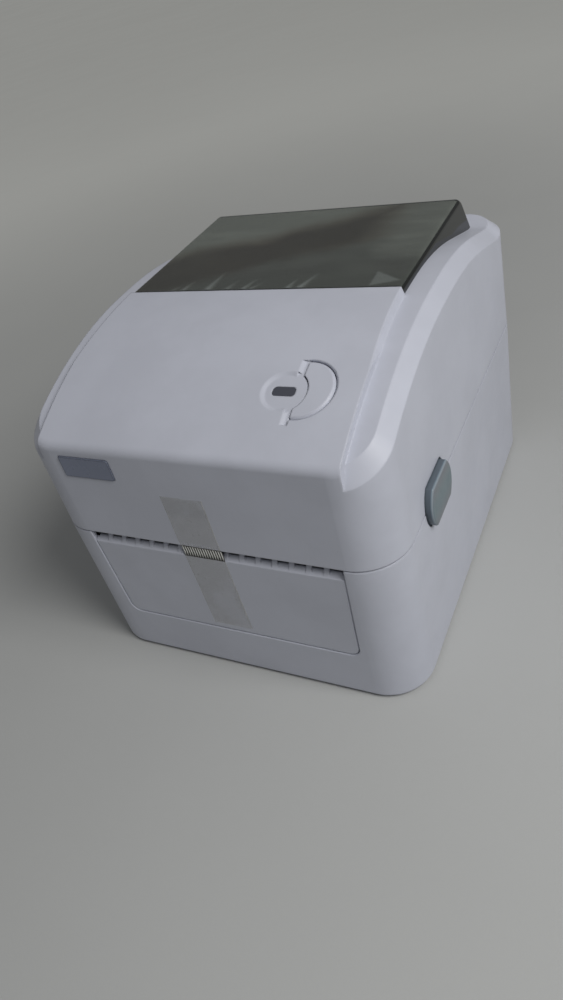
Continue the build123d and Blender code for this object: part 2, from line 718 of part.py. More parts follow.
def sensor_carriage():
    y = (SENSOR_Y - 5.5, SENSOR_Y + 5.5)
    body = block((-7.0, 7.0), y, (SENSOR_Z - 3.5, DECK_Z - TRAY_T - CLEAR))
    body = fillet(body.edges().filter_by(Axis.Z), 1.5)
    eye = block((-6.0, 6.0), (SENSOR_Y - 3.4, SENSOR_Y + 3.4), (SENSOR_Z, DECK_Z + 0.3))
    eye -= rod_z(1.2, 0, SENSOR_Y, (DECK_Z - 0.6, DECK_Z + 1))
    return body + eye - rod_x(SENSOR_RAIL_R + RUN_FIT, (-8, 8), SENSOR_Y, SENSOR_Z)


def sensor_rail():
    return rod_x(SENSOR_RAIL_R, (-TRAY_OUT + 0.2, TRAY_OUT - 0.2), SENSOR_Y, SENSOR_Z)


# Label feed


def idler_centre():
    """Where the idler meshes with both the platen gear and the motor pinion."""
    to_platen = MODULE * (IDLER_TEETH + PLATEN_TEETH) / 2
    to_motor = MODULE * (IDLER_TEETH + MOTOR_TEETH) / 2
    dy = MOTOR_Y - PLATEN_Y
    dz = MOTOR_Z - PLATEN_Z
    span = math.hypot(dy, dz)
    along = (to_platen**2 - to_motor**2 + span**2) / (2 * span)
    off = math.sqrt(to_platen**2 - along**2)
    return (
        PLATEN_Y + (along * dy - off * dz) / span,
        PLATEN_Z + (along * dz + off * dy) / span,
    )


def mesh_phase(teeth, centre, other_teeth, other_centre, other_phase):
    """Phase that puts a gap of this gear where a tooth of the other one points to it."""
    line = math.degrees(math.atan2(centre[1] - other_centre[1], centre[0] - other_centre[0]))
    offset = (line - other_phase) * other_teeth / 360.0
    return line + 180.0 + (offset + 0.5) * 360.0 / teeth


def platen_roller():
    sleeve = rod_x(PLATEN_R, (-PLATEN_HALF, PLATEN_HALF), PLATEN_Y, PLATEN_Z)
    return sleeve - rod_x(SHAFT_R, (-90, 90), PLATEN_Y, PLATEN_Z)


def platen_shaft():
    shaft = rod_x(SHAFT_R, (GEAR_X[0] - 2.5, TRAY_OUT + 2.0), PLATEN_Y, PLATEN_Z)
    return chamfer(shaft.edges(), 0.4)


def platen_bushings():
    """Two flanged bushings in the seats of the side plates."""
    bushings = []
    for side in (-1, 1):
        x = sorted((side * (TRAY_HALF - 1.2), side * (TRAY_OUT + 0.6)))
        collar = sorted((side * (TRAY_HALF - 1.2), side * (TRAY_HALF - 0.1)))
        bush = rod_x(BUSH_R, x, PLATEN_Y, PLATEN_Z) + rod_x(BUSH_R + 1.5, collar, PLATEN_Y, PLATEN_Z)
        bushings.append(bush - rod_x(SHAFT_R + RUN_FIT, (-90, 90), PLATEN_Y, PLATEN_Z))
    return Compound(children=bushings)


def platen_gear():
    face = Pos(PLATEN_Y, PLATEN_Z) * gear_face(PLATEN_TEETH, SHAFT_R)
    collar = rod_x(4.6, (GEAR_X[1], GEAR_X[1] + 2.5), PLATEN_Y, PLATEN_Z)
    collar -= rod_x(SHAFT_R, (-90, 90), PLATEN_Y, PLATEN_Z)
    return across(face, GEAR_X) + collar


def idler_gear():
    y, z = idler_centre()
    phase = mesh_phase(IDLER_TEETH, (y, z), PLATEN_TEETH, (PLATEN_Y, PLATEN_Z), 0.0)
    gear = across(Pos(y, z) * gear_face(IDLER_TEETH, IDLER_PIN_R + RUN_FIT, phase), GEAR_X)
    web = rod_x(11.5, (GEAR_X[0] - 1, GEAR_X[0] + 1.5), y, z) - rod_x(5.0, (-80, -60), y, z)
    return gear - web


def idler_axle():
    """Pin with a retaining head outside the gear and a spacer collar behind it."""
    y, z = idler_centre()
    collar_r = IDLER_PIN_R + 1.4
    pin = rod_x(IDLER_PIN_R, (GEAR_X[0] - 1.8, -TRAY_HALF), y, z)
    pin += rod_x(collar_r, (GEAR_X[0] - 1.8, GEAR_X[0] - 0.4), y, z)
    return pin + rod_x(collar_r, (GEAR_X[1] + 0.5, -GEAR_PLATE_X[1] - 0.05), y, z)


def motor_pinion():
    idler = idler_centre()
    idler_phase = mesh_phase(IDLER_TEETH, idler, PLATEN_TEETH, (PLATEN_Y, PLATEN_Z), 0.0)
    phase = mesh_phase(MOTOR_TEETH, (MOTOR_Y, MOTOR_Z), IDLER_TEETH, idler, idler_phase)
    face = Pos(MOTOR_Y, MOTOR_Z) * gear_face(MOTOR_TEETH, MOTOR_SHAFT_R + RUN_FIT, phase)
    return across(face, (GEAR_X[0] - 0.5, GEAR_X[1] + 0.5))


def stepper_motor():
    """Square stepper motor with its pilot ring and shaft, shaft towards -X."""
    square = Pos(MOTOR_Y, MOTOR_Z) * RectangleRounded(MOTOR_SIZE, MOTOR_SIZE, 3.0)
    stack = Rectangle(MOTOR_SIZE - 0.8, MOTOR_SIZE - 0.8)
    stack = Pos(MOTOR_Y, MOTOR_Z) * chamfer(stack.vertices(), 4.0)
    face_x = -TRAY_HALF + 0.05
    body = across(square, (face_x, face_x + 9.0)) + across(stack, (face_x + 9.0, face_x + 24.0))
    body += across(square, (face_x + 24.0, face_x + 33.0))
    body += rod_x(PILOT_R, (face_x - 2.0, face_x), MOTOR_Y, MOTOR_Z)
    return body + rod_x(MOTOR_SHAFT_R, (GEAR_X[0] - 2.0, face_x), MOTOR_Y, MOTOR_Z)


def gear_plate():
    """Steel plate that backs the side wall behind the gears."""
    sheet = Pos(MOTOR_Y, MOTOR_Z) * RectangleRounded(MOTOR_SIZE, MOTOR_SIZE, 4.0)
    sheet += Pos(*idler_centre()) * Circle(6.5)
    return across(sheet - motor_holes(), (-GEAR_PLATE_X[1], -GEAR_PLATE_X[0]))


# Electronics


def main_board():
    board = block(BOARD_X, BOARD_Y, (BOARD_Z, BOARD_Z + BOARD_T))
    for x in BOARD_STANDS_X:
        for y in BOARD_STANDS_Y:
            board -= rod_z(1.6, x, y, (0, 20))
    return board


def board_components():
    """Chips, capacitors and connectors on the main board."""
    low = BOARD_Z + BOARD_T
    parts = []
    for x, y, width, length, height in BOARD_BLOCKS:
        chip = Box(width, length, height, align=LOW)
        parts.append(Pos(x, y, low) * chip)
    for x, y in ((-60.0, 78.0), (-48.0, 78.0), (8.0, 88.0)):
        can = rod_z(4.0, x, y, (low, low + 11.0))
        parts.append(fillet(can.edges().group_by(Axis.Z)[-1], 0.6))
    return Compound(children=parts)


def usb_port():
    """Shell of a square data socket with its tongue."""
    low = BOARD_Z + BOARD_T
    shell = block((USB_X - 6.0, USB_X + 6.0), (IO_FACE_Y - 15.0, IO_FACE_Y + 0.5), (low, low + 10.9))
    mouth = Pos(USB_X, low + 5.45) * Rectangle(9.0, 8.0)
    top = mouth.vertices().group_by(Axis.Y)[-1]
    shell -= deep(chamfer(top, 2.0), (IO_FACE_Y - 8.5, IO_FACE_Y + 2.0))
    tongue_y = (IO_FACE_Y - 9.0, IO_FACE_Y - 1.0)
    return shell + block((USB_X - 2.8, USB_X + 2.8), tongue_y, (low + 3.9, low + 7.0))


def dc_jack():
    """Power jack: a round hole with a centre pin."""
    low = BOARD_Z + BOARD_T
    body = block((JACK_X - 4.5, JACK_X + 4.5), (IO_FACE_Y - 14.0, IO_FACE_Y + 0.5), (low, low + 11.0))
    middle = low + 6.3
    body -= Pos(JACK_X, IO_FACE_Y - 4.0, middle) * Rot(90, 0, 0) * Cylinder(3.1, 10.0)
    pin = Pos(JACK_X, IO_FACE_Y - 5.5, middle) * Rot(90, 0, 0) * Cylinder(1.0, 9.0)
    return body + pin


def switch_block(half, y):
    """Block about the switch's middle, from its half width and half height."""
    x = (SWITCH_X - half[0], SWITCH_X + half[0])
    return block(x, y, (SWITCH_Z - half[1], SWITCH_Z + half[1]))


def switch_bezel():
    """Frame of the power switch, open in the middle for the rocker."""
    face_y = IO_FACE_Y + 1.8
    frame = switch_block(SWITCH_FRAME, (IO_FACE_Y + 0.05, face_y))
    frame = fillet(frame.edges().filter_by(Axis.Y), 1.5)
    body = switch_block(SWITCH_BODY, (IO_FACE_Y - 13.0, face_y))
    cavity = switch_block(SWITCH_ROOM, (IO_FACE_Y - 8.0, IO_FACE_Y + 3.0))
    pivot = rod_z(1.0, SWITCH_X, SWITCH_PIVOT_Y, (SWITCH_Z - 6.0, SWITCH_Z + 6.0))
    return frame + body - cavity + pivot


def switch_rocker():
    """Rocker with two dished faces, at rest tilted to its off side."""
    face = outline(
        (-7.4, -3.6),
        (-7.4, 2.2),
        (0.0, 0.9),
        (7.4, 2.2),
        (7.4, -3.6),
        (2.6, -4.6),
        (-2.6, -4.6),
    )
    key = extrude(face, 4.9, both=True) - Cylinder(1.0 + RUN_FIT, 20)
    return Pos(SWITCH_X, SWITCH_PIVOT_Y, SWITCH_Z) * Rot(0, 0, -SWITCH_TILT) * key


# Fasteners, springs and pins


def screw(radius, head_r, head_z, tip_z):
    """Pan-head screw on the Z axis, head down."""
    head = rod_z(head_r, 0, 0, head_z)
    cross = block((-head_r * 0.6, head_r * 0.6), (-0.4, 0.4), (head_z[0] - 1, head_z[0] + 0.9))
    head -= cross + Rot(0, 0, 90) * cross
    return head + rod_z(radius, 0, 0, (head_z[1], tip_z))


def housing_screws():
    one = screw(1.5, 2.9, (13.8, 16.0), 32.0)
    return Compound(children=[Pos(x, y, 0) * one for x in (-POST_X, POST_X) for y in POST_Y])


def board_screws():
    top = BOARD_Z + BOARD_T
    one = rod_z(2.6, 0, 0, (top, top + 1.8)) + rod_z(1.25, 0, 0, (FLOOR_Z + 1, top))
    return Compound(children=[Pos(x, y, 0) * one for x in BOARD_STANDS_X for y in BOARD_STANDS_Y])


def hinge_pins():
    pins = []
    for side in (-1, 1):
        x = sorted((side * (BARREL_X[0] + 2.0), side * (BARREL_X[1] - 2.0)))
        pins.append(chamfer(rod_x(PIN_R, x, HINGE_Y, HINGE_Z).edges(), 0.3))
    return Compound(children=pins)


def release_spring():
    """Right compression spring, between the tray and the release arm."""
    x = (TRAY_OUT + 0.02, ARM_X[0] - 0.02)
    return rod_x(3.0, x, RELEASE_Y, SPRING_Z) - rod_x(2.3, x, RELEASE_Y, SPRING_Z)


def release_button():
    """Right release button: domed cap, retaining flange, arm with a latch nose."""
    cap_x = (WIDTH / 2 - 5.0, WIDTH / 2 + RELEASE_PROUD)
    cap = across(release_outline(0), cap_x)
    rim = cap.faces().sort_by(Axis.X)[-1].edges()
    cap = fillet(rim, 1.2)
    collar = across(release_outline(2.2), (ARM_X[1] + 2.2, WIDTH / 2 - WALL - 0.6))
    core = across(release_outline(-2.0), (ARM_X[0], cap_x[0] + 1))
    y = (RELEASE_Y - ARM_HALF_Y, RELEASE_Y + ARM_HALF_Y)
    arm = block(ARM_X, y, (67.0, NOSE_Z[1]))
    nose = outline(
        (ARM_X[1] - 0.5, NOSE_Z[0]),
        (NOSE_X, NOSE_Z[0]),
        (NOSE_X, NOSE_Z[0] + 0.8),
        (ARM_X[1], NOSE_Z[1]),
        (ARM_X[1] - 0.5, NOSE_Z[1]),
    )
    return cap + collar + core + arm + deep(nose, y)


# Cover


def draft_walls(inset):
    """Walls of the cover, leaning in by the draft angle."""
    plan = Plane.XY.offset(COVER_LOW_Z) * footprint(COVER_STEP + inset)
    return extrude(plan, PANEL_APEX_Z + 5.0 - COVER_LOW_Z, taper=DRAFT)


def is_top_rim(edge):
    box = edge.bounding_box()
    return box.min.Z > SEAM_Z + 35.0 and box.size.X < WIDTH - 30.0


def centre_panel(inset):
    """Raised centre panel with its steep side steps, up to the window."""
    half = PANEL_HALF - inset
    wide = half + 2 * PANEL_STEP
    top_z = PANEL_APEX_Z - inset
    side = panel_side(inset, WINDOW_FRONT_Y - SEAM_GAP / 2 - inset)
    steps = outline(
        (-half, top_z),
        (half, top_z),
        (wide, top_z - 8.0),
        (wide, SEAM_Z),
        (-wide, SEAM_Z),
        (-wide, top_z - 8.0),
    )
    return across(side, (-wide, wide)) & deep(steps, (FRONT - 20.0, REAR))


def cover_form(inset):
    """Outer form of the cover, or its hollow when inset is the wall."""
    walls = draft_walls(inset)
    form = walls & across(shoulder_side(inset), (-WIDTH, WIDTH))
    form = chamfer(form.edges().filter_by(is_top_rim), BEVEL_DOWN, BEVEL_ACROSS)
    raised = centre_panel(inset) & walls
    nose = [e for e in raised.edges().filter_by(Axis.X) if is_nose(e)]
    return form + fillet(nose, NOSE_R - inset / 2)


def is_nose(edge):
    middle = edge.center()
    return middle.Y < FRONT + 10.0 and middle.Z > SEAM_Z + 35.0


def hinge_cut():
    """What leaves the cover's lower rear edge so that it can roll over the seam."""
    x = (-WIDTH, WIDTH)
    corner = block(x, (HINGE_Y, REAR + 5), (0, HINGE_Z)) - rod_x(CURL_R, x, HINGE_Y, HINGE_Z)
    notch_x = (KNUCKLE_X[0] - 0.5, KNUCKLE_X[1] + 0.5)
    notch = rod_x(CURL_R + 0.2, notch_x, HINGE_Y, HINGE_Z)
    notch += block(notch_x, (HINGE_Y - CURL_R - 0.2, REAR + 5), (0, HINGE_Z))
    bore = rod_x(PIN_R + RUN_FIT, (BARREL_X[0] + 1.8, BARREL_X[1] - 1.8), HINGE_Y, HINGE_Z)
    return corner + both_sides(notch + bore)


def hinge_barrels():
    """Rolled lower edge of the rear wall, thickened to barrels beside the knuckles."""
    x = (-CORNER_Y, CORNER_Y)
    curl = rod_x(CURL_R, x, HINGE_Y, HINGE_Z) - rod_x(CURL_R - WALL, x, HINGE_Y, HINGE_Z)
    curl &= block(x, (HINGE_Y, REAR + 5), (0, HINGE_Z))
    return curl + both_sides(rod_x(CURL_R - 0.4, BARREL_X, HINGE_Y, HINGE_Z))


def badge_plane():
    """Plane on the cover's front, leaning with the draft."""
    lean = math.radians(DRAFT)
    middle_z = (BADGE_Z[0] + BADGE_Z[1]) / 2
    y = FRONT + math.tan(lean) * (middle_z - COVER_LOW_Z)
    origin = ((BADGE_X[0] + BADGE_X[1]) / 2, y, middle_z)
    return Plane(origin=origin, x_dir=(1, 0, 0), z_dir=(0, -math.cos(lean), math.sin(lean)))


def badge_outline(grow):
    width = BADGE_X[1] - BADGE_X[0] + 2 * grow
    return RectangleRounded(width, BADGE_Z[1] - BADGE_Z[0] + 2 * grow, 1.0 + grow)


def from_dish(sketch, high, low):
    """Sketch in the dish plane, extruded from low to high along its normal."""
    return extrude(dish_plane().offset(low) * sketch, high - low)


def lamp_outline(grow):
    """Window of the lamp, in the dish plane."""
    width, height = LAMP_SIZE
    return Pos(*LAMP_AT) * RectangleRounded(width + 2 * grow, height + 2 * grow, LAMP_R + grow)


def dish_recess():
    """Dish around the lamp, and the sloped step beside each straight edge of the button."""
    low, high = 1.2, 1.0
    rim_r = DISH_R + CLEAR
    bowl = Cone(rim_r - DISH_SLOPE * low, rim_r + DISH_SLOPE * high, low + high, align=LOW)
    recess = dish_plane().offset(-low) * bowl
    right_half = Circle(rim_r) & Pos(FEED_STEP_X + rim_r, 0) * Rectangle(2 * rim_r, 2 * rim_r)
    recess += from_dish(right_half, high, -low)

    # The step follows the top's radius, so its section turns about the axis of that radius
    centre = (DISH_X, ARC_APEX_Y, PANEL_APEX_Z - ARC_R)
    half_turn = math.degrees(FEED_STEP_HALF / ARC_R)
    lean = math.asin((DISH_Y - ARC_APEX_Y) / ARC_R) + math.radians(half_turn)
    section = Plane(origin=centre, x_dir=(1, 0, 0), z_dir=(0, -math.cos(lean), math.sin(lean)))
    step = outline(
        (FEED_STEP_X - DISH_SLOPE * high, ARC_R + high),
        (FEED_STEP_X + DISH_SLOPE * DISH_DEPTH, ARC_R - DISH_DEPTH),
        (FEED_EDGE, ARC_R - DISH_DEPTH),
        (FEED_EDGE, ARC_R + high),
    )
    steps = revolve(section * step, Axis(centre, (1, 0, 0)), 2 * half_turn)
    return recess - under_top(DISH_DEPTH) + steps


def upper_cover():
    outer = cover_form(0)
    outer = chamfer(outer.edges().group_by(Axis.Z)[0], EDGE_CHAMFER)
    shell = outer - cover_form(WALL)
    shell += hinge_barrels()
    shell -= hinge_cut()

    # Window opening, and the holes for button, lamp and badge
    window_y = (WINDOW_FRONT_Y + 1.0, WINDOW_REAR_Y - 2.5)
    shell -= block((-PANEL_HALF + 1.5, PANEL_HALF - 1.5), window_y, (SEAM_Z + 30.0, 200.0))
    shell -= dish_recess()
    shell -= from_dish(feed_outline(FEED_GAP), 4.0, -9.0)
    flare = dish_plane().offset(-FEED_BEVEL) * feed_outline(FEED_GAP)
    shell -= extrude(flare, FEED_BEVEL + 0.1, taper=-45)
    shell -= from_dish(lamp_outline(0.1), 4.0, -9.0)
    shell -= extrude(badge_plane().offset(-0.5) * badge_outline(0.15), 2.0)
    hole = across(release_outline(RELEASE_GAP), (WIDTH / 2 - 3 * WALL, WIDTH / 2 + 1))
    shell -= both_sides(hole)

    # Bosses, catches, ribs and the tear bar's pads, trimmed to the inside
    roof_z = PANEL_APEX_Z + 8.0
    inner = [rod_z(3.5, x, y, (LINER_Z, roof_z)) for x, y in LINER_BOSSES]
    below_ribs = cover_form(WALL + RIB_HEIGHT)
    for x in RIBS_X:
        rib_y = (FRONT + 1.0, WINDOW_FRONT_Y - 1.0)
        inner.append(block((x - 0.8, x + 0.8), rib_y, (SEAM_Z + 30.0, roof_z)) - below_ribs)
    inner += [from_dish(Pos(x, y) * Circle(2.4), 6.0, -BUTTON_BOARD) for x, y in BUTTON_BOARD_POSTS]
    wall_x = WIDTH / 2 - 1.0
    catch = outline(
        (wall_x, CATCH_Z[0] - 3.0),
        (CATCH_X, CATCH_Z[0]),
        (CATCH_X, CATCH_Z[1]),
        (wall_x, CATCH_Z[1]),
    )
    inner.append(both_sides(deep(catch, (RELEASE_Y - 4.0, RELEASE_Y + 4.0))))
    for x in TEAR_STAKES_X:
        inner.append(block((x - 3.0, x + 3.0), (FRONT - 1.0, TEAR_Y[0]), (TEAR_STAKE_Z - 2.5, TEAR_Z[1])))
        inner.append(Pos(x, TEAR_Y[1], TEAR_STAKE_Z) * Rot(90, 0, 0) * Cylinder(1.2, 2.4))
    trim = cover_form(0.8)
    for piece in inner:
        shell += piece & trim
    for x, y in LINER_BOSSES:
        shell -= rod_z(1.3, x, y, (LINER_Z - 1, LINER_Z + 12.0))
    return shell


def is_window_side(edge):
    """True for the edges between a skirt and the roof, crest or rear wall."""
    middle = edge.center()
    beside = abs(middle.X) > PANEL_HALF - 1.0
    return beside and middle.Y > WINDOW_FRONT_Y + 5.0 and middle.Z > SEAM_Z + 41.0


def window():
    """Smoked hump: roof, steep skirts that stand on the shoulders, and a rim in the opening."""
    top_z = PANEL_APEX_Z + 1
    low_z = SEAM_Z + 38.0
    wide = PANEL_HALF + SKIRT_LEAN * (top_z - low_z)
    skirts = outline((-PANEL_HALF, top_z), (PANEL_HALF, top_z), (wide, low_z), (-wide, low_z))
    hump = across(window_side(0), (-wide, wide)) & deep(skirts, (FRONT, REAR))
    hump = fillet(hump.edges().filter_by(is_window_side), WINDOW_EDGE_R)
    above = hump - across(shoulder_side(0), (-WIDTH, WIDTH))
    rim_y = (WINDOW_FRONT_Y + 1.2, WINDOW_REAR_Y - 2.7)
    rim_half = PANEL_HALF - 1.7
    rim = hump & block((-rim_half, rim_half), rim_y, (SEAM_Z, 200.0))
    rim -= across(shoulder_side(WINDOW_RIM), (-WIDTH, WIDTH))
    room = across(window_side(WINDOW_T), (-rim_half + WINDOW_T, rim_half - WINDOW_T))
    return above + rim - room


def badge_plate():
    plate = extrude(badge_plane().offset(-0.5) * badge_outline(0), 0.9)
    return fillet(plate.faces().sort_by(Axis.Y)[0].edges(), 0.25)


def led_lens():
    lens = from_dish(lamp_outline(0), -DISH_DEPTH - 0.1, -4.2)
    return lens + from_dish(lamp_outline(1.5), -2.8, -4.2)


def is_feed_rim(edge):
    """True for the outer arc at the top of the feed button."""
    middle = dish_plane().to_local_coords(edge.center())
    return middle.X > FEED_X + FEED_R / 2 and middle.Z > -2.0


def feed_button():
    """Crescent key, flush with the top, with a flange and a stem over the switch."""
    key = from_dish(feed_outline(0), 4.0, -5.4) & under_top(0.15)
    key = chamfer(key.edges().filter_by(is_feed_rim), FEED_BEVEL)
    key = key + from_dish(feed_outline(1.3), -3.5, -5.4)
    return key + from_dish(Pos(*KEY_STEM) * Circle(2.2), -5.0, -BUTTON_BOARD + 5.2)


def button_board():
    sheet = Pos(5.0, 0) * RectangleRounded(*BUTTON_BOARD_SIZE, 2.0)
    board = from_dish(sheet, -BUTTON_BOARD, -BUTTON_BOARD - 1.6)
    switch = from_dish(Pos(*KEY_STEM) * Rectangle(6.0, 6.0), -BUTTON_BOARD + 3.4, -BUTTON_BOARD)
    switch += from_dish(Pos(*KEY_STEM) * Circle(1.7), -BUTTON_BOARD + 4.2, -BUTTON_BOARD)
    lamp = from_dish(Circle(2.0), -BUTTON_BOARD + 5.0, -BUTTON_BOARD)
    return board + switch + lamp


def tear_bar():
    """Steel strip with a row of teeth along its lower edge."""
    low, high = TEAR_Z
    count = round(2 * TEAR_HALF / TEAR_PITCH)
    points = [(TEAR_HALF, high), (-TEAR_HALF, high)]
    for number in range(count):
        x = -TEAR_HALF + number * TEAR_PITCH
        points += [(x, low + TEAR_DEPTH), (x + TEAR_PITCH / 2, low)]
    points.append((TEAR_HALF, low + TEAR_DEPTH))
    face = outline(*points)
    for x in TEAR_STAKES_X:
        face -= Pos(x, TEAR_STAKE_Z) * Circle(1.25)
    return deep(face, TEAR_Y)


def cover_liner():
    """Inner moulding that carries the print head: an open-bottomed tray with spring cups."""
    x = (-LINER_HALF, LINER_HALF)
    liner = block(x, LINER_Y, (HEAD_TOP_Z - 4.5, LINER_Z))
    liner = fillet(liner.edges().filter_by(Axis.Z), 3.0)
    room_x = (-LINER_HALF + 1.8, LINER_HALF - 1.8)
    liner -= block(room_x, (LINER_Y[0] + 1.8, LINER_Y[1] - 2.0), (80.0, LINER_Z - 2.0))
    ledge = block((59.5, LINER_HALF - 1), (-95.0, -83.0), (HEAD_TOP_Z - 4.5, HEAD_TOP_Z - 3.0))
    liner += both_sides(ledge)
    for side in (-1, 1):
        cup = rod_z(4.8, side * HEAD_SPRING_X, HEAD_SPRING_Y, (LINER_Z - 5.0, LINER_Z - 1.0))
        liner += cup - rod_z(3.8, side * HEAD_SPRING_X, HEAD_SPRING_Y, (80.0, LINER_Z - 2.0))
    for number in range(5):
        rib_x = (number - 2) * 24.0
        rib_z = (HEAD_TOP_Z + 2.5, LINER_Z - 1.0)
        liner += block((rib_x - 0.8, rib_x + 0.8), (-74.0, LINER_Y[1] - 1.0), rib_z)
    for bx, by in LINER_BOSSES:
        liner -= rod_z(1.7, bx, by, (LINER_Z - 3, LINER_Z + 1))
    return liner


def printhead_heatsink():
    """Aluminium bar with cooling grooves along its rear half and an ear at each end."""
    bar = block((-57.0, 57.0), (-101.5, -76.0), (HEAD_LOW_Z + 1.2, HEAD_TOP_Z))
    for number in range(3):
        y = -77.8 - number * 3.0
        bar -= block((-60.0, 60.0), (y - 1.3, y), (HEAD_TOP_Z - 2.5, HEAD_TOP_Z + 1))
    ears = block((56.0, 62.0), (-94.0, -84.0), (HEAD_TOP_Z - 2.7, HEAD_TOP_Z - 0.7))
    return bar + both_sides(ears)


def printhead_strip():
    """Ceramic strip, with the cover of its driver chips along the rear."""
    strip = block((-54.0, 54.0), (-100.0, -77.0), (HEAD_LOW_Z, HEAD_LOW_Z + 1.2))
    chips = block((-54.0, 54.0), (-85.5, -77.0), (HEAD_LOW_Z - 1.0, HEAD_LOW_Z + 1.2))
    return strip + chamfer(chips.edges().group_by(Axis.Z)[0], 0.6)


def head_springs():
    springs = []
    for side in (-1, 1):
        z = (HEAD_TOP_Z + 0.02, LINER_Z - 2.02)
        x = side * HEAD_SPRING_X
        springs.append(rod_z(3.5, x, HEAD_SPRING_Y, z) - rod_z(2.8, x, HEAD_SPRING_Y, z))
    return Compound(children=springs)


def cover_screws():
    screws = []
    for x, y in LINER_BOSSES:
        screws.append(Pos(x, y, 0) * screw(1.25, 2.6, (LINER_Z - 3.8, LINER_Z - 2.0), LINER_Z + 11.0))
    return Compound(children=screws)


def build():
    left_guide = media_guide()
    right_button = release_button()
    right_spring = release_spring()
    pieces = {
        "lower_housing": lower_housing(),
        "rubber_feet": rubber_feet(),
        "front_panel": front_panel(),
        "inner_frame": inner_frame(),
        "rack_cover": rack_cover(),
        "sensor_rail": sensor_rail(),
        "platen_bushings": platen_bushings(),
        "idler_axle": idler_axle(),
        "stepper_motor": stepper_motor(),
        "gear_plate": gear_plate(),
        "main_board": main_board(),
        "board_components": board_components(),
        "usb_port": usb_port(),
        "dc_jack": dc_jack(),
        "switch_bezel": switch_bezel(),
        "housing_screws": housing_screws(),
        "board_screws": board_screws(),
        "hinge_pins": hinge_pins(),
        "release_spring_right": right_spring,
        "release_spring_left": mirror(right_spring, Plane.YZ),
        "release_button_right": right_button,
        "release_button_left": mirror(right_button, Plane.YZ),
        "media_guide_left": left_guide,
        "media_guide_right": Pos(0, 2 * ROLL_Y, 0) * Rot(0, 0, 180) * left_guide,
        "guide_pinion": guide_pinion(),
        "sensor_carriage": sensor_carriage(),
        "platen_roller": platen_roller(),
        "platen_shaft": platen_shaft(),
        "platen_gear": platen_gear(),
        "idler_gear": idler_gear(),
        "motor_pinion": motor_pinion(),
        "switch_rocker": switch_rocker(),
        "upper_cover": upper_cover(),
        "window": window(),
        "badge_plate": badge_plate(),
        "led_lens": led_lens(),
        "feed_button": feed_button(),
        "button_board": button_board(),
        "tear_bar": tear_bar(),
        "cover_liner": cover_liner(),
        "printhead_heatsink": printhead_heatsink(),
        "printhead_strip": printhead_strip(),
        "head_springs": head_springs(),
        "cover_screws": cover_screws(),
    }
    for name, solid in pieces.items():
        save(name, solid)


os.makedirs("parts", exist_ok=True)
build()
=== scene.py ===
import math

import bpy
from mathutils import Matrix, Vector
from mathutils.bvhtree import BVHTree


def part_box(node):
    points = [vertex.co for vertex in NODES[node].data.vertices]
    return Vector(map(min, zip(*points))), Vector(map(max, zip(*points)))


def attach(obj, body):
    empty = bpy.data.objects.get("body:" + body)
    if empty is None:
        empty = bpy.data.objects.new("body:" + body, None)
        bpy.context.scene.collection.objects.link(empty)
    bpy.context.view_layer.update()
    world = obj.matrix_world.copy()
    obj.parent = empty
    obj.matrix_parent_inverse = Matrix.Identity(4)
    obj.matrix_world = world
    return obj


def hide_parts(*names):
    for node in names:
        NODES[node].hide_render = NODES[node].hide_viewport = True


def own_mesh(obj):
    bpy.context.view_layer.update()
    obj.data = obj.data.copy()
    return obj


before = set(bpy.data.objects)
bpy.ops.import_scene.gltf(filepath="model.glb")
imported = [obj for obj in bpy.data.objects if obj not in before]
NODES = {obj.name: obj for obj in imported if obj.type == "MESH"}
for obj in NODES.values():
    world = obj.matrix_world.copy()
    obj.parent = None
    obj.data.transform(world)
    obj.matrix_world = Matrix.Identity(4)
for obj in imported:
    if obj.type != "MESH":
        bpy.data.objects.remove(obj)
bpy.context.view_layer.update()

MM = 0.001
X, Y, Z = 0, 1, 2

# Camera of the photograph, in the row frame
CAMERA_AT = (0.181224, -0.299497, 0.306257)
CAMERA_AZIMUTH = math.radians(-35.18914909)
CAMERA_DOWN = math.radians(38.44026373)
CAMERA_ROLL = math.radians(-16.91773505)
FOCAL_PIXELS = 761.8247
LONG_SIDE = 1000
SENSOR = 36.0
CLIP_START = 0.01
CLIP_END = 50.0

# Light and floor. The glow is what the floor adds far from the object
KEY_AT = (0.64, -0.21, 0.80)
KEY_TARGET = (0, 0, 0.08)
KEY_SIZE = 0.5
KEY_POWER = 6.0
KEY_COLOR = (1.0, 0.995, 0.985)
SKY_COLOR = (0.97, 0.985, 1.0, 1)
SKY_STRENGTH = 0.18
FLOOR_SIZE = 16
GLOW_COLOR = (1.0, 1.0, 0.93, 1)
GLOW_STRENGTH = 0.17
GLOW_NEAR, GLOW_FAR = 0.15, 1.1

# Places on the CAD model, in the row frame
SEAM_Z = 85.8 * MM
COVER_LOW_Z = 85.95 * MM
COVER_FACE_Y = -109.85 * MM
COVER_LEAN = math.tan(math.radians(1.25))
INSERT_FACE_Y = -109.7 * MM
INSERT_LIP_Z = 79.6 * MM
RELEASE_MIDDLE_Z = (80.0 * MM, 92.0 * MM)
HEATER_Y = -96.0 * MM
HEAD_CHIP_Y = -85.8 * MM

# Clear tape over the label slot: its left edge at the top, and its shift along X per height
TAPE_LEFT = -14.0 * MM
TAPE_WIDTH = 21.5 * MM
TAPE_SLANT = 0.018
TAPE_TOP_Z = 115.0 * MM
TAPE_LOW_Z = 33.0 * MM


def corners(box):
    """Lowest and highest corner of a box, as vectors."""
    return [Vector(corner) for corner in box]


# Camera, floor and light


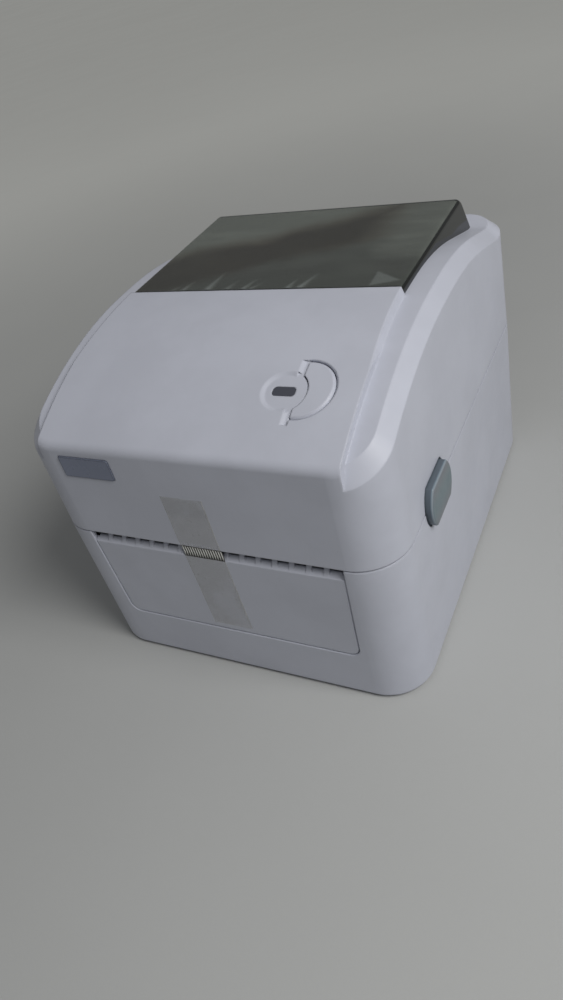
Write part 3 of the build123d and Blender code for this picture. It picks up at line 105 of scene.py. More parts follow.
def make_camera():
    data = bpy.data.cameras.new("camera")
    data.sensor_width = SENSOR
    data.lens = SENSOR * FOCAL_PIXELS / LONG_SIDE
    data.clip_start = CLIP_START
    data.clip_end = CLIP_END
    camera = bpy.data.objects.new("camera", data)
    bpy.context.scene.collection.objects.link(camera)
    level = math.cos(CAMERA_DOWN)
    ahead = Vector((
        math.sin(CAMERA_AZIMUTH) * level,
        math.cos(CAMERA_AZIMUTH) * level,
        -math.sin(CAMERA_DOWN),
    ))
    right = ahead.cross(Vector((0, 0, 1))).normalized()
    up = right.cross(ahead)
    turned_right = math.cos(CAMERA_ROLL) * right + math.sin(CAMERA_ROLL) * up
    turned_up = math.cos(CAMERA_ROLL) * up - math.sin(CAMERA_ROLL) * right
    axes = Matrix((turned_right, turned_up, -ahead)).transposed()
    camera.matrix_world = Matrix.Translation(CAMERA_AT) @ axes.to_4x4()
    bpy.context.scene.camera = camera


def make_light():
    """Dim even sky, and one soft lamp high on the right."""
    world = bpy.data.worlds.new("studio")
    bpy.context.scene.world = world
    world.use_nodes = True
    sky = world.node_tree.nodes["Background"].inputs
    sky["Color"].default_value = SKY_COLOR
    sky["Strength"].default_value = SKY_STRENGTH
    data = bpy.data.lights.new("key", "AREA")
    data.shape = "DISK"
    data.size = KEY_SIZE
    data.energy = KEY_POWER
    data.color = KEY_COLOR
    lamp = bpy.data.objects.new("key", data)
    bpy.context.scene.collection.objects.link(lamp)
    lamp.location = KEY_AT
    lamp.rotation_mode = "QUATERNION"
    lamp.rotation_quaternion = (Vector(KEY_AT) - Vector(KEY_TARGET)).to_track_quat("Z", "Y")


def make_floor():
    bpy.ops.mesh.primitive_plane_add(size=FLOOR_SIZE)
    floor = bpy.context.object
    floor.name = "floor"
    floor.data.materials.append(floor_material())


# Node trees

# Sockets of a Mix node that mixes colours
MIX_A, MIX_B, MIX_RESULT = 6, 7, 2

BEVEL_SAMPLES = 6
SOFT = 0.05 * MM

# Dot product of the true and the rounded normal, on an edge and off it
EDGE_DOTS = (0.86, 0.99)


class Graph:
    """Node tree of one material. Its places are the object's own coordinates in metres,
    which on a CAD node are those of the row frame."""

    def __init__(self, name):
        self.material = bpy.data.materials.new(name)
        self.material.use_nodes = True
        self.tree = self.material.node_tree
        self.tree.nodes.clear()
        self.shader = self.add("ShaderNodeBsdfPrincipled")
        output = self.add("ShaderNodeOutputMaterial")
        self.join(self.shader.outputs[0], output.inputs["Surface"])
        self.place = self.add("ShaderNodeTexCoord").outputs["Object"]
        self.axes = None

    def add(self, kind, **settings):
        node = self.tree.nodes.new(kind)
        for name, value in settings.items():
            setattr(node, name, value)
        return node

    def join(self, source, target):
        self.tree.links.new(source, target)

    def feed(self, target, value):
        """Join a socket to another one, or set it to a plain value."""
        if isinstance(value, bpy.types.NodeSocket):
            self.join(value, target)
        else:
            target.default_value = value

    def set(self, **values):
        """Feed sockets of the shader, named with _ for a space."""
        for name, value in values.items():
            self.feed(self.shader.inputs[name.replace("_", " ")], value)

    def finish(self, color, rough, normal):
        self.set(Base_Color=color, Roughness=rough, Normal=normal)
        return self.material

    # Patterns

    def attribute(self, name):
        return self.add("ShaderNodeAttribute", attribute_name=name).outputs["Fac"]

    def stretched(self, scale, turn=(0, 0, 0)):
        mapping = self.add("ShaderNodeMapping")
        self.join(self.place, mapping.inputs["Vector"])
        mapping.inputs["Scale"].default_value = scale
        mapping.inputs["Rotation"].default_value = turn
        return mapping.outputs[0]

    def noise(self, scale, detail=3.0, rough=0.5, vector=None, distortion=0.0):
        node = self.add("ShaderNodeTexNoise")
        self.join(vector or self.place, node.inputs["Vector"])
        node.inputs["Scale"].default_value = scale
        node.inputs["Detail"].default_value = detail
        node.inputs["Roughness"].default_value = rough
        node.inputs["Distortion"].default_value = distortion
        return node.outputs["Fac"]

    def cells(self, scale, vector=None, feature="F1"):
        node = self.add("ShaderNodeTexVoronoi", feature=feature)
        self.join(vector or self.place, node.inputs["Vector"])
        node.inputs["Scale"].default_value = scale
        return node.outputs["Distance"]

    def stripes(self, half_pitch, low, high):
        """Stripes across X, from 0 to 1 as the distance from a line grows from low to high."""
        return self.ramp(self.math("PINGPONG", self.axis(X), half_pitch), low, high)

    def axis(self, index):
        """Place along X, Y or Z."""
        if self.axes is None:
            self.axes = self.add("ShaderNodeSeparateXYZ")
            self.join(self.place, self.axes.inputs[0])
        return self.axes.outputs[index]

    def above(self, index, place, soft=SOFT):
        """1 beyond a place along an axis, else 0."""
        return self.ramp(self.axis(index), place - soft, place + soft)

    def within(self, index, low, high, soft=SOFT):
        """1 between two places along an axis, else 0."""
        above = self.above(index, low, soft)
        return self.times(above, self.fall(self.axis(index), high - soft, high + soft))

    # Arithmetic

    def math(self, operation, a, b=0.0):
        node = self.add("ShaderNodeMath", operation=operation)
        self.feed(node.inputs[0], a)
        self.feed(node.inputs[1], b)
        return node.outputs[0]

    def times(self, a, b):
        return self.math("MULTIPLY", a, b)

    def total(self, start, *parts):
        """Start plus each part times its weight."""
        for value, weight in parts:
            start = self.math("ADD", self.times(value, weight), start)
        return start

    def highest(self, value, *others):
        for other in others:
            value = self.math("MAXIMUM", value, other)
        return value

    def ramp(self, value, low, high, at_low=0.0, at_high=1.0):
        node = self.add("ShaderNodeMapRange")
        node.interpolation_type = "SMOOTHSTEP"
        self.join(value, node.inputs["Value"])
        node.inputs["From Min"].default_value = low
        node.inputs["From Max"].default_value = high
        node.inputs["To Min"].default_value = at_low
        node.inputs["To Max"].default_value = at_high
        return node.outputs["Result"]

    def fall(self, value, low, high):
        """Ramp from 1 down to 0."""
        return self.ramp(value, low, high, 1.0, 0.0)

    def mix(self, share, a, b):
        node = self.add("ShaderNodeMix", data_type="RGBA")
        self.feed(node.inputs["Factor"], share)
        self.feed(node.inputs[MIX_A], a)
        self.feed(node.inputs[MIX_B], b)
        return node.outputs[MIX_RESULT]

    # Normals

    def rounded(self, radius):
        """Normal with softened edges."""
        node = self.add("ShaderNodeBevel", samples=BEVEL_SAMPLES)
        node.inputs["Radius"].default_value = radius
        return node.outputs[0]

    def edges(self, radius):
        """1 along sharp edges, else 0."""
        true = self.add("ShaderNodeNewGeometry").outputs["Normal"]
        dot = self.add("ShaderNodeVectorMath", operation="DOT_PRODUCT")
        self.join(self.rounded(radius), dot.inputs[0])
        self.join(true, dot.inputs[1])
        return self.fall(dot.outputs["Value"], *EDGE_DOTS)

    def bump(self, height, strength, distance, below=None):
        node = self.add("ShaderNodeBump")
        self.join(height, node.inputs["Height"])
        node.inputs["Strength"].default_value = strength
        node.inputs["Distance"].default_value = distance
        if below is not None:
            self.join(below, node.inputs["Normal"])
        return node.outputs[0]


def shade(color, factor=1.0):
    """A colour times a factor, with alpha."""
    return (*[min(1.0, channel * factor) for channel in color], 1.0)


# Plastics

CASING = (0.555, 0.572, 0.648)
GREY_BLUE = (0.160, 0.208, 0.250)
BADGE = (0.225, 0.250, 0.335)
TRAY = (0.060, 0.064, 0.072)
LINER = (0.05, 0.053, 0.06)
BLACK = (0.02, 0.02, 0.022)
GEAR = (0.66, 0.66, 0.62)
LENS = (0.070, 0.074, 0.095)
MARKS = (0.75, 0.75, 0.74)

PLASTIC_SPECULAR = 0.45
GRAIN_HEIGHT = 0.06 * MM
SINK_HEIGHT = 0.6 * MM
EDGE = 0.3 * MM
FINE_EDGE = 0.1 * MM
CASING_EDGE = 1.0 * MM
CASING_WEAR_AND_HIGHLIGHT_EDGE = 0.4 * MM

# The release buttons change their look at these depths below the face
FACE_DEPTHS = (0.5 * MM, 0.2 * MM)
RIM_FROM = (1.1 * MM, 0.7 * MM)
RIM_TO = (0.4 * MM, 0.15 * MM)
FLANK_TO = (1.5 * MM, 1.0 * MM)
FACE_GREY = (0.190, 0.200, 0.222)
FACE_GREEN = (0.160, 0.212, 0.235)
RIM_HIGHLIGHT = (0.31, 0.35, 0.38)
FLANK_SHADE = (0.085, 0.100, 0.118)

BADGE_SHADOW_BAND = 0.5 * MM


def plastic_skin(g, color, rough, mottle=0.03):
    """Colour and roughness of moulded plastic: mottled, finely specked and rubbed in patches."""
    clouds = g.ramp(g.noise(22.0, detail=4.0, rough=0.6), 0.35, 0.65)
    base = g.mix(clouds, shade(color, 1.0 - mottle), shade(color, 1.0 + mottle))
    specks = g.ramp(g.noise(900.0, detail=2.0), 0.70, 0.78, 0.0, 0.35)
    base = g.mix(specks, base, shade(color, 0.86))
    rubbed = g.noise(35.0, detail=5.0, rough=0.65)
    return base, g.ramp(rubbed, 0.4, 0.7, rough - 0.05, rough + 0.06)


def grained(g, scale, strength, below):
    """Normal with the fine eroded grain of a mould."""
    return g.bump(g.noise(scale, detail=2.0, rough=0.6), strength, GRAIN_HEIGHT, below)


def moulded(g, scale, strength, edge):
    """Normal with grain over slow sink waves and softened edges."""
    waves = g.bump(g.noise(14.0, detail=1.0), 0.25, SINK_HEIGHT, g.rounded(edge))
    return grained(g, scale, strength, waves)


def plastic(name, color, rough, grain, relief=0.35, gloss=0.0, edge=EDGE):
    """Moulded plastic with edges lightened partly by wear and partly as a painted highlight."""
    g = Graph(name)
    base, rubbed = plastic_skin(g, color, rough)
    # Edges lighter: partly wear, partly a painted highlight
    base = g.mix(g.times(g.edges(edge), 0.3), base, shade(color, 1.5))
    g.set(Specular_IOR_Level=PLASTIC_SPECULAR, Coat_Weight=gloss, Coat_Roughness=0.12)
    return g.finish(base, rubbed, moulded(g, grain, relief, edge))


def casing_material():
    """White casing plastic, with soft edges that are lightened partly by wear and partly as a
    painted highlight, and painted shade along the seam.
    """
    g = Graph("casing_white")
    base, rubbed = plastic_skin(g, CASING, 0.40)
    # Edges lighter: partly wear, partly a painted highlight
    base = g.mix(g.times(g.edges(CASING_WEAR_AND_HIGHLIGHT_EDGE), 0.15), base, shade(CASING, 1.2))
    # Painted shade: darker in a thin band at the height of the seam between cover and housing
    seam_shade = g.within(Z, SEAM_Z - 0.5 * MM, COVER_LOW_Z + 0.3 * MM, soft=0.1 * MM)
    base = g.mix(g.times(seam_shade, 0.5), base, shade(CASING, 0.6))
    g.set(Specular_IOR_Level=PLASTIC_SPECULAR)
    return g.finish(base, rubbed, moulded(g, 3200.0, 0.35, CASING_EDGE))


def release_material():
    """Grey-blue button plastic: painted shade on the flank, a painted highlight on the rim,
    greener middle of the face.
    """
    g = Graph("release_grey")
    face_x = abs(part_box("release_button_right")[1][0])
    out = g.math("ABSOLUTE", g.axis(X))

    def beyond(depths, fade=g.ramp):
        deep, shallow = depths
        return fade(out, face_x - deep, face_x - shallow)

    base, rubbed = plastic_skin(g, GREY_BLUE, 0.36, mottle=0.04)
    middle = g.within(Z, *RELEASE_MIDDLE_Z, soft=6.0 * MM)
    base = g.mix(beyond(FACE_DEPTHS), base, g.mix(middle, shade(FACE_GREY), shade(FACE_GREEN)))
    # Painted highlight along the rim of the face
    rim = g.times(beyond(RIM_FROM), beyond(RIM_TO, g.fall))
    base = g.mix(g.times(rim, 0.6), base, shade(RIM_HIGHLIGHT))
    # Painted shade on the flank below the face
    base = g.mix(g.times(beyond(FLANK_TO, g.fall), 0.7), base, shade(FLANK_SHADE))
    g.set(Specular_IOR_Level=PLASTIC_SPECULAR)
    return g.finish(base, rubbed, grained(g, 2600.0, 0.35, g.rounded(EDGE)))


def badge_material():
    """Bare silver-blue plate, with a thin band of painted shadow just inside its edge, where the
    gap around it shades.
    """
    g = Graph("badge_silver")
    low, high = corners(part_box("badge_plate"))
    base, rubbed = plastic_skin(g, BADGE, 0.30, mottle=0.04)
    # Painted shadow of the gap around the plate: a darker band inside its edge
    inner = g.times(g.within(X, low.x + BADGE_SHADOW_BAND, high.x - BADGE_SHADOW_BAND),
                    g.within(Z, low.z + BADGE_SHADOW_BAND, high.z - BADGE_SHADOW_BAND))
    base = g.mix(inner, shade(BADGE, 0.6), base)
    return g.finish(base, rubbed, grained(g, 2000.0, 0.2, g.rounded(EDGE)))


# Metal, rubber and floor

STEEL = (0.60, 0.60, 0.61)
PLATED = (0.55, 0.56, 0.58)
BRONZE = (0.52, 0.34, 0.17)
ALUMINIUM = (0.66, 0.67, 0.68)
RUBBER = (0.022, 0.022, 0.024)
FLOOR = (0.480, 0.486, 0.478)

ALONG_X = (0.05, 1, 1)
ALONG_X_LONGER = (0.04, 1, 1)
BRUSH_HEIGHT = 0.03 * MM


def metal_skin(g, color, rough, along=(1, 1, 1)):
    """Colour, roughness and brushing of a metal."""
    brushed = g.noise(900.0, detail=4.0, rough=0.6, vector=g.stretched(along))
    tarnish = g.ramp(g.noise(60.0, detail=4.0, rough=0.6), 0.35, 0.7)
    base = g.mix(tarnish, shade(color, 1.04), shade(color, 0.86))
    base = g.mix(g.ramp(brushed, 0.3, 0.7, 0.0, 0.25), base, shade(color, 0.8))
    return base, g.ramp(brushed, 0.3, 0.7, rough - 0.06, rough + 0.1), brushed


def metal(name, color, rough, along=(1, 1, 1)):
    """Tarnished metal, brushed along one direction where the scale of an axis is small."""
    g = Graph(name)
    base, spread, brushed = metal_skin(g, color, rough, along)
    g.set(Metallic=1.0)
    return g.finish(base, spread, g.bump(brushed, 0.25, BRUSH_HEIGHT))


def rubber_material():
    g = Graph("rubber_dark")
    dusty = g.ramp(g.noise(70.0, detail=5.0, rough=0.65), 0.35, 0.7)
    base = g.mix(dusty, shade(RUBBER, 0.85), shade(RUBBER, 1.35))
    rough = g.ramp(g.noise(50.0), 0.3, 0.7, 0.62, 0.82)
    return g.finish(base, rough, g.bump(g.noise(1800.0), 0.4, 0.08 * MM))


def floor_material():
    """Pale cloth, which glows far from the object for the camera and for reflections only."""
    g = Graph("floor_cloth")
    tone = g.ramp(g.noise(2.2, detail=4.0, rough=0.55), 0.3, 0.7)
    base = g.mix(tone, shade(FLOOR, 0.97), shade(FLOOR, 1.03))
    weave = g.noise(900.0, rough=0.6)
    rough = g.ramp(g.noise(9.0, detail=2.0), 0.3, 0.7, 0.75, 0.9)
    path = g.add("ShaderNodeLightPath").outputs
    seen = g.highest(path["Is Camera Ray"], path["Is Glossy Ray"], path["Is Transmission Ray"])
    apart = g.add("ShaderNodeVectorMath", operation="LENGTH")
    g.join(g.place, apart.inputs[0])
    far = g.ramp(apart.outputs["Value"], GLOW_NEAR, GLOW_FAR, 0.0, GLOW_STRENGTH)
    g.set(Emission_Color=GLOW_COLOR, Emission_Strength=g.times(seen, far))
    return g.finish(base, rough, g.bump(weave, 0.2, 0.2 * MM))


# Window, film and tape

SMOKE = (0.008, 0.009, 0.008)
SMOKE_SMEARED = (0.015, 0.017, 0.016)

# Strip before the film, from the front edge of the window
BARE_STRIP = (-1.0 * MM, 1.1 * MM)

FILM_CLEAR = (0.47, 0.44, 0.35)
FILM_HAZY = (0.445, 0.485, 0.435)
FILM_WRINKLE_HIGHLIGHT = (0.62, 0.68, 0.66)

# Direction across the film's clear band, and the places between which the haze changes
BAND_X, BAND_Y = -0.457, 0.889
HAZE_AHEAD = (18.0 * MM, 34.0 * MM)
HAZE_BEHIND = (52.0 * MM, 74.0 * MM)
HAZE_RIGHT_X = (45.0 * MM, 72.0 * MM)
HAZE_RIGHT_Y = (0.0, 30.0 * MM)

TAPE_SINGLE = (0.60, 0.59, 0.55)
TAPE_DOUBLED = (0.49, 0.485, 0.445)
TAPE_EDGE_HIGHLIGHT = (0.80, 0.81, 0.80)
FOLD_SHADE = (0.015, 0.014, 0.013)
FOLD_LIT = (0.90, 0.90, 0.85)
TAPE_DOUBLED_Z = 104.75 * MM


def window_material():
    """Dark smoked plastic, polished and faintly smeared, duller on the strip before the film."""
    g = Graph("window_smoke")
    wiped = g.stretched((1.0, 0.35, 1.0), turn=(0, 0, 0.5))
    smears = g.noise(14.0, detail=5.0, rough=0.6, vector=wiped, distortion=0.8)
    smears = g.ramp(smears, 0.35, 0.75)
    base = g.mix(smears, shade(SMOKE), shade(SMOKE_SMEARED))
    rough = g.ramp(smears, 0.0, 1.0, 0.06, 0.12)
    front = corners(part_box("window"))[0].y
    bare = g.within(Y, front + BARE_STRIP[0], front + BARE_STRIP[1], soft=0.1 * MM)
    g.set(Specular_IOR_Level=g.ramp(bare, 0.0, 1.0, 0.5, 0.1))
    return g.finish(base, rough, g.bump(g.noise(9.0, detail=2.0), 0.15, SINK_HEIGHT))


def film_material():
    """Milky film: hazy on both sides of one clear slanting band and at its right end, and whiter
    where it stands off in a wrinkle, as a painted highlight."""
    g = Graph("film")
    lifted = g.attribute("lift")
    clouds = g.noise(26.0, rough=0.55, distortion=0.4)
    drawn = g.stretched((0.25, 1.0, 1.0), turn=(0, 0, 0.5))
    streaks = g.noise(70.0, detail=4.0, rough=0.6, vector=drawn)
    across = g.total(g.times(g.axis(Y), BAND_Y), (g.axis(X), BAND_X), (clouds, 0.022))
    behind = g.ramp(across, *HAZE_BEHIND)
    ahead = g.fall(across, *HAZE_AHEAD)
    right = g.times(g.ramp(g.total(g.axis(X), (clouds, 0.03)), *HAZE_RIGHT_X),
                    g.ramp(g.axis(Y), *HAZE_RIGHT_Y))
    haze = g.highest(g.times(behind, 0.95), g.times(ahead, 0.22), g.times(right, 0.65))
    veil = g.times(g.ramp(streaks, 0.45, 0.80), g.total(0.05, (haze, 0.3)))
    base = g.mix(g.highest(behind, ahead, right), shade(FILM_CLEAR), shade(FILM_HAZY))
    # Painted highlight on the wrinkles, where the film stands off
    base = g.mix(lifted, base, shade(FILM_WRINKLE_HIGHLIGHT))
    g.set(Specular_IOR_Level=0.08)
    g.set(Alpha=g.total(0.030, (haze, 0.145), (veil, 0.25), (lifted, 0.10)))
    rough = g.ramp(clouds, 0.3, 0.7, 0.24, 0.36)
    return g.finish(base, rough, g.bump(g.noise(120.0, detail=2.0), 0.12, 0.3 * MM))


def tape_material():
    """Clear yellowish tape, doubled at its upper end, with a painted highlight along its edges,
    and painted shade and painted light on the folds over the slot."""
    g = Graph("tape")
    bubbles = g.ramp(g.noise(600.0), 0.62, 0.72)
    patches = g.ramp(g.noise(60.0), 0.35, 0.65)
    doubled = g.above(Z, TAPE_DOUBLED_Z, soft=0.25 * MM)
    across = g.total(g.axis(X), (g.axis(Z), TAPE_SLANT))
    left_x = TAPE_LEFT + TAPE_TOP_Z * TAPE_SLANT
    right_x = left_x + TAPE_WIDTH
    # Painted highlight along the right edge, weaker along the left
    right = g.ramp(across, right_x - 0.7 * MM, right_x - 0.4 * MM)
    left = g.ramp(across, left_x + 0.2 * MM, left_x + 0.4 * MM, 0.5, 0.0)
    edge = g.highest(right, left)
    over_slot = g.within(Z, INSERT_LIP_Z, COVER_LOW_Z + 0.5 * MM)
    base = g.mix(doubled, shade(TAPE_SINGLE), shade(TAPE_DOUBLED))
    base = g.mix(g.times(edge, 0.6), base, shade(TAPE_EDGE_HIGHLIGHT))
    # Over the slot: painted shade in the valleys of the pleats and painted light on their
    # ridges, nearly opaque
    fold_shading = g.mix(g.attribute("pleat"), shade(FOLD_SHADE), shade(FOLD_LIT))
    base = g.mix(over_slot, base, fold_shading)
    alpha = g.total(g.ramp(patches, 0.0, 1.0, 0.10, 0.16), (bubbles, 0.08), (edge, 0.25))
    g.set(Alpha=g.highest(alpha, g.times(over_slot, 0.85)))
    rough = g.ramp(patches, 0.0, 1.0, 0.18, 0.3)
    return g.finish(base, rough, g.bump(bubbles, 0.2, 0.04 * MM))


# Circuit boards, motor and print head

TRACE_GREEN = (0.03, 0.13, 0.07)
MASK_GREEN = (0.012, 0.075, 0.04)
TINNED = (0.55, 0.55, 0.52)
CHIP = (0.022, 0.022, 0.024)
PIN_METAL = (0.60, 0.60, 0.60)
CREAM = (0.62, 0.58, 0.47)
SLEEVE_BLUE = (0.03, 0.045, 0.11)
CAN_METAL = (0.62, 0.63, 0.65)
MOTOR_STEEL = (0.42, 0.42, 0.44)
SHEET_DARK = (0.012, 0.012, 0.013)
SHEET_LIGHT = (0.035, 0.035, 0.037)
CERAMIC = (0.60, 0.58, 0.53)
GOLD = (0.52, 0.37, 0.16)
HEATER_BROWN = (0.045, 0.030, 0.022)
HEAD_CHIP = (0.018, 0.018, 0.019)

# Heights above the foot of the components, and the depth of their row of connectors
PIN_HEIGHT = 0.6 * MM
SLEEVE_FROM = 7.3 * MM
SLEEVE_TO = 10.8 * MM
CONNECTOR_DEPTH = 5.6 * MM

# Along X from the low side of the gear plate: the motor's face and its laminated stack
MOTOR_FACE = 3.4 * MM
STACK_FROM = MOTOR_FACE + 9.0 * MM
STACK_TO = MOTOR_FACE + 24.0 * MM

HEATER_HALF = 0.4 * MM
HEAD_TRACES_Y = HEATER_Y + 0.6 * MM


def board_material():
    """Dark solder mask, paler over a net of fine traces, with scattered tinned pads."""
    g = Graph("board_green")
    net = g.cells(420.0, g.stretched((1.0, 0.5, 1.0)), feature="DISTANCE_TO_EDGE")
    between = g.ramp(net, 0.04, 0.09)
    base = g.mix(between, shade(TRACE_GREEN), shade(MASK_GREEN))
    base = g.mix(g.fall(g.cells(330.0), 0.10, 0.14), base, shade(TINNED))
    rough = g.ramp(g.noise(80.0), 0.3, 0.7, 0.3, 0.42)
    return g.finish(base, rough, g.bump(between, 0.3, 0.05 * MM))


def component_material():
    """Black chips, cream connectors along one edge, and sleeved capacitors with bare tops."""
    g = Graph("board_parts")
    low = corners(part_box("board_components"))[0]
    base, rough = plastic_skin(g, CHIP, 0.42, mottle=0.05)
    pins = g.stripes(0.65 * MM, 0.28 * MM, 0.36 * MM)
    base = g.mix(g.times(pins, g.within(Z, low.z, low.z + PIN_HEIGHT)), base, shade(PIN_METAL))
    base = g.mix(g.within(Y, low.y, low.y + CONNECTOR_DEPTH), base, shade(CREAM))
    base = g.mix(g.above(Z, low.z + SLEEVE_FROM, soft=0.1 * MM), base, shade(SLEEVE_BLUE))
    base = g.mix(g.above(Z, low.z + SLEEVE_TO, soft=0.1 * MM), base, shade(CAN_METAL))
    return g.finish(base, rough, g.bump(g.noise(1500.0, detail=2.0), 0.2, 0.04 * MM))


def motor_material():
    """Stepper motor: bright end caps, black laminated stack, steel shaft."""
    g = Graph("motor_body")
    steel, spread, brushed = metal_skin(g, MOTOR_STEEL, 0.34)
    start = corners(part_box("gear_plate"))[0].x
    stack = g.within(X, start + STACK_FROM, start + STACK_TO)
    sheets = g.stripes(0.25 * MM, 0.04 * MM, 0.10 * MM)
    black = g.mix(sheets, shade(SHEET_DARK), shade(SHEET_LIGHT))
    g.set(Metallic=g.ramp(stack, 0.0, 1.0, 1.0, 0.25))
    brushing = g.bump(brushed, 0.2, BRUSH_HEIGHT)
    relief = g.bump(g.times(sheets, stack), 0.4, 0.06 * MM, brushing)
    return g.finish(g.mix(stack, steel, black), spread, relief)


def head_material():
    """Glazed ceramic with a dark heater line, gold traces behind it and a black chip cover."""
    g = Graph("ceramic")
    base, rough = plastic_skin(g, CERAMIC, 0.20, mottle=0.04)
    traces = g.stripes(0.18 * MM, 0.06 * MM, 0.10 * MM)
    base = g.mix(g.times(traces, g.within(Y, HEAD_TRACES_Y, HEAD_CHIP_Y)), base, shade(GOLD))
    heater = g.within(Y, HEATER_Y - HEATER_HALF, HEATER_Y + HEATER_HALF)
    base = g.mix(heater, base, shade(HEATER_BROWN))
    base = g.mix(g.within(Y, HEAD_CHIP_Y, 0.0), base, shade(HEAD_CHIP))
    g.set(Coat_Weight=0.5, Coat_Roughness=0.08)
    return g.finish(base, rough, g.bump(g.noise(900.0, detail=2.0), 0.08, 0.04 * MM))


# What each CAD node is made of


def make_materials():
    """Materials, each with its CAD nodes."""
    return {
        casing_material():
            ["upper_cover", "lower_housing", "front_panel", "feed_button"],
        release_material():
            ["release_button_left", "release_button_right"],
        badge_material():
            ["badge_plate"],
        window_material():
            ["window"],
        plastic("button_grey", GREY_BLUE, rough=0.36, grain=2600.0):
            ["media_guide_left", "media_guide_right"],
        plastic("tray_grey", TRAY, rough=0.5, grain=2400.0):
            ["inner_frame", "rack_cover"],
        plastic("liner_grey", LINER, rough=0.5, grain=2400.0):
            ["cover_liner"],
        plastic("component_black", BLACK, rough=0.45, grain=2800.0):
            ["dc_jack", "switch_bezel", "switch_rocker", "sensor_carriage"],
        plastic("gear_white", GEAR, rough=0.35, grain=1500.0, relief=0.15, edge=FINE_EDGE):
            ["platen_gear", "idler_gear", "guide_pinion"],
        plastic("lens_dark", LENS, rough=0.16, grain=1500.0, relief=0.05, gloss=0.5):
            ["led_lens"],
        metal("steel_bright", STEEL, rough=0.25, along=ALONG_X):
            ["platen_shaft", "idler_axle", "sensor_rail", "tear_bar", "hinge_pins"],
        metal("steel_plated", PLATED, rough=0.33):
            ["gear_plate", "housing_screws", "board_screws", "cover_screws", "usb_port",
             "release_spring_right", "release_spring_left", "head_springs"],
        metal("bronze", BRONZE, rough=0.4):
            ["motor_pinion", "platen_bushings"],
        metal("aluminium_head", ALUMINIUM, rough=0.32, along=ALONG_X_LONGER):
            ["printhead_heatsink"],
        rubber_material():
            ["rubber_feet", "platen_roller"],
        board_material():
            ["main_board", "button_board"],
        component_material():
            ["board_components"],
        motor_material():
            ["stepper_motor"],
        head_material():
            ["printhead_strip"],
    }


def paint(materials):
    painted = set()
    for material, names in materials.items():
        for name in names:
            slots = NODES[name].data.materials
            slots.clear()
            slots.append(material)
            painted.add(name)
    missing = sorted(set(NODES) - painted)
    if missing:
        raise RuntimeError(f"no material for {missing}")


# Pieces that the CAD model holds only as plain stand-ins, or not at all


def piece(name, vertices, faces, material, body, attribute=None):
    """Smooth mesh that rides on a body. The attribute is a name and a value per vertex."""
    mesh = bpy.data.meshes.new(name)
    mesh.from_pydata(vertices, [], faces)
    mesh.materials.append(material)
    mesh.shade_smooth()
    if attribute:
        layer = mesh.attributes.new(attribute[0], "FLOAT", "POINT")
        layer.data.foreach_set("value", attribute[1])
    thing = bpy.data.objects.new(name, mesh)
    bpy.context.scene.collection.objects.link(thing)
    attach(thing, body)
    return thing


def grid_faces(columns, rows):
    """Quads of a grid whose vertices run column by column."""
    return [
        (c * rows + r, (c + 1) * rows + r, (c + 1) * rows + r + 1, c * rows + r + 1)
        for c in range(columns - 1) for r in range(rows - 1)
    ]


def sheet_of(columns, thickness, normal):
    """Closed thin sheet: a grid, its copy moved against the normal, and the rim."""
    top = [v for column in columns for v in column]
    low = [Vector(v) - Vector(normal) * thickness for v in top]
    wide, tall, size = len(columns), len(columns[0]), len(top)
    front = grid_faces(wide, tall)
    back = [tuple(i + size for i in reversed(face)) for face in front]
    ring = [c * tall for c in range(wide)]
    ring += [(wide - 1) * tall + r for r in range(1, tall)]
    ring += [c * tall + tall - 1 for c in range(wide - 2, -1, -1)]
    ring += [r for r in range(tall - 2, 0, -1)]
    rim = [(a, a + size, b + size, b) for a, b in zip(ring, ring[1:] + ring[:1])]
    return [tuple(v) for v in top + low], front + back + rim


def clamped(value):
    return min(1.0, max(0.0, value))


# Coil springs in place of the CAD model's plain tubes

COIL_STEPS = 18
COIL_SIDES = 8
WIRE_R = 0.35 * MM
RELEASE_SPRING_R = 3.0 * MM
RELEASE_SPRING_TURNS = 8
HEAD_SPRING_R = 3.5 * MM
HEAD_SPRING_TURNS = 6


def coil_mesh(start, end, radius, turns):
    """Round wire wound between two points of an axis, with one closed turn at each end."""
    axis = (end - start).normalized()
    side = axis.orthogonal().normalized()
    third = axis.cross(side)
    length = (end - start).length - 2 * WIRE_R
    steps = COIL_STEPS * turns
    vertices = []
    for step in range(steps + 1):
        turned = turns * step / steps
        angle = 2 * math.pi * turned
        middle = start + axis * (WIRE_R + length * clamped((turned - 1.0) / (turns - 2.0)))
        out = math.cos(angle) * side + math.sin(angle) * third
        for k in range(COIL_SIDES):
            around = 2 * math.pi * k / COIL_SIDES
            aside = out * (radius - WIRE_R + WIRE_R * math.cos(around))
            vertices.append(tuple(middle + aside + axis * WIRE_R * math.sin(around)))
    faces = []
    for step in range(steps):
        low, high = step * COIL_SIDES, (step + 1) * COIL_SIDES
        for k in range(COIL_SIDES):
            following = (k + 1) % COIL_SIDES
            faces.append((low + k, high + k, high + following, low + following))
    faces.append(tuple(range(COIL_SIDES)))
    faces.append(tuple(steps * COIL_SIDES + k for k in reversed(range(COIL_SIDES))))
    return vertices, faces


def coil(name, ends, radius, turns, material, body, nodes):
    """Compression spring that rides on a body, in place of CAD nodes."""
    start, end = (Vector(place) for place in ends)
    vertices, faces = coil_mesh(start, end, radius, turns)
    spring = piece(name, vertices, faces, material, body)
    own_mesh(spring)
    if nodes:
        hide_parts(*nodes)


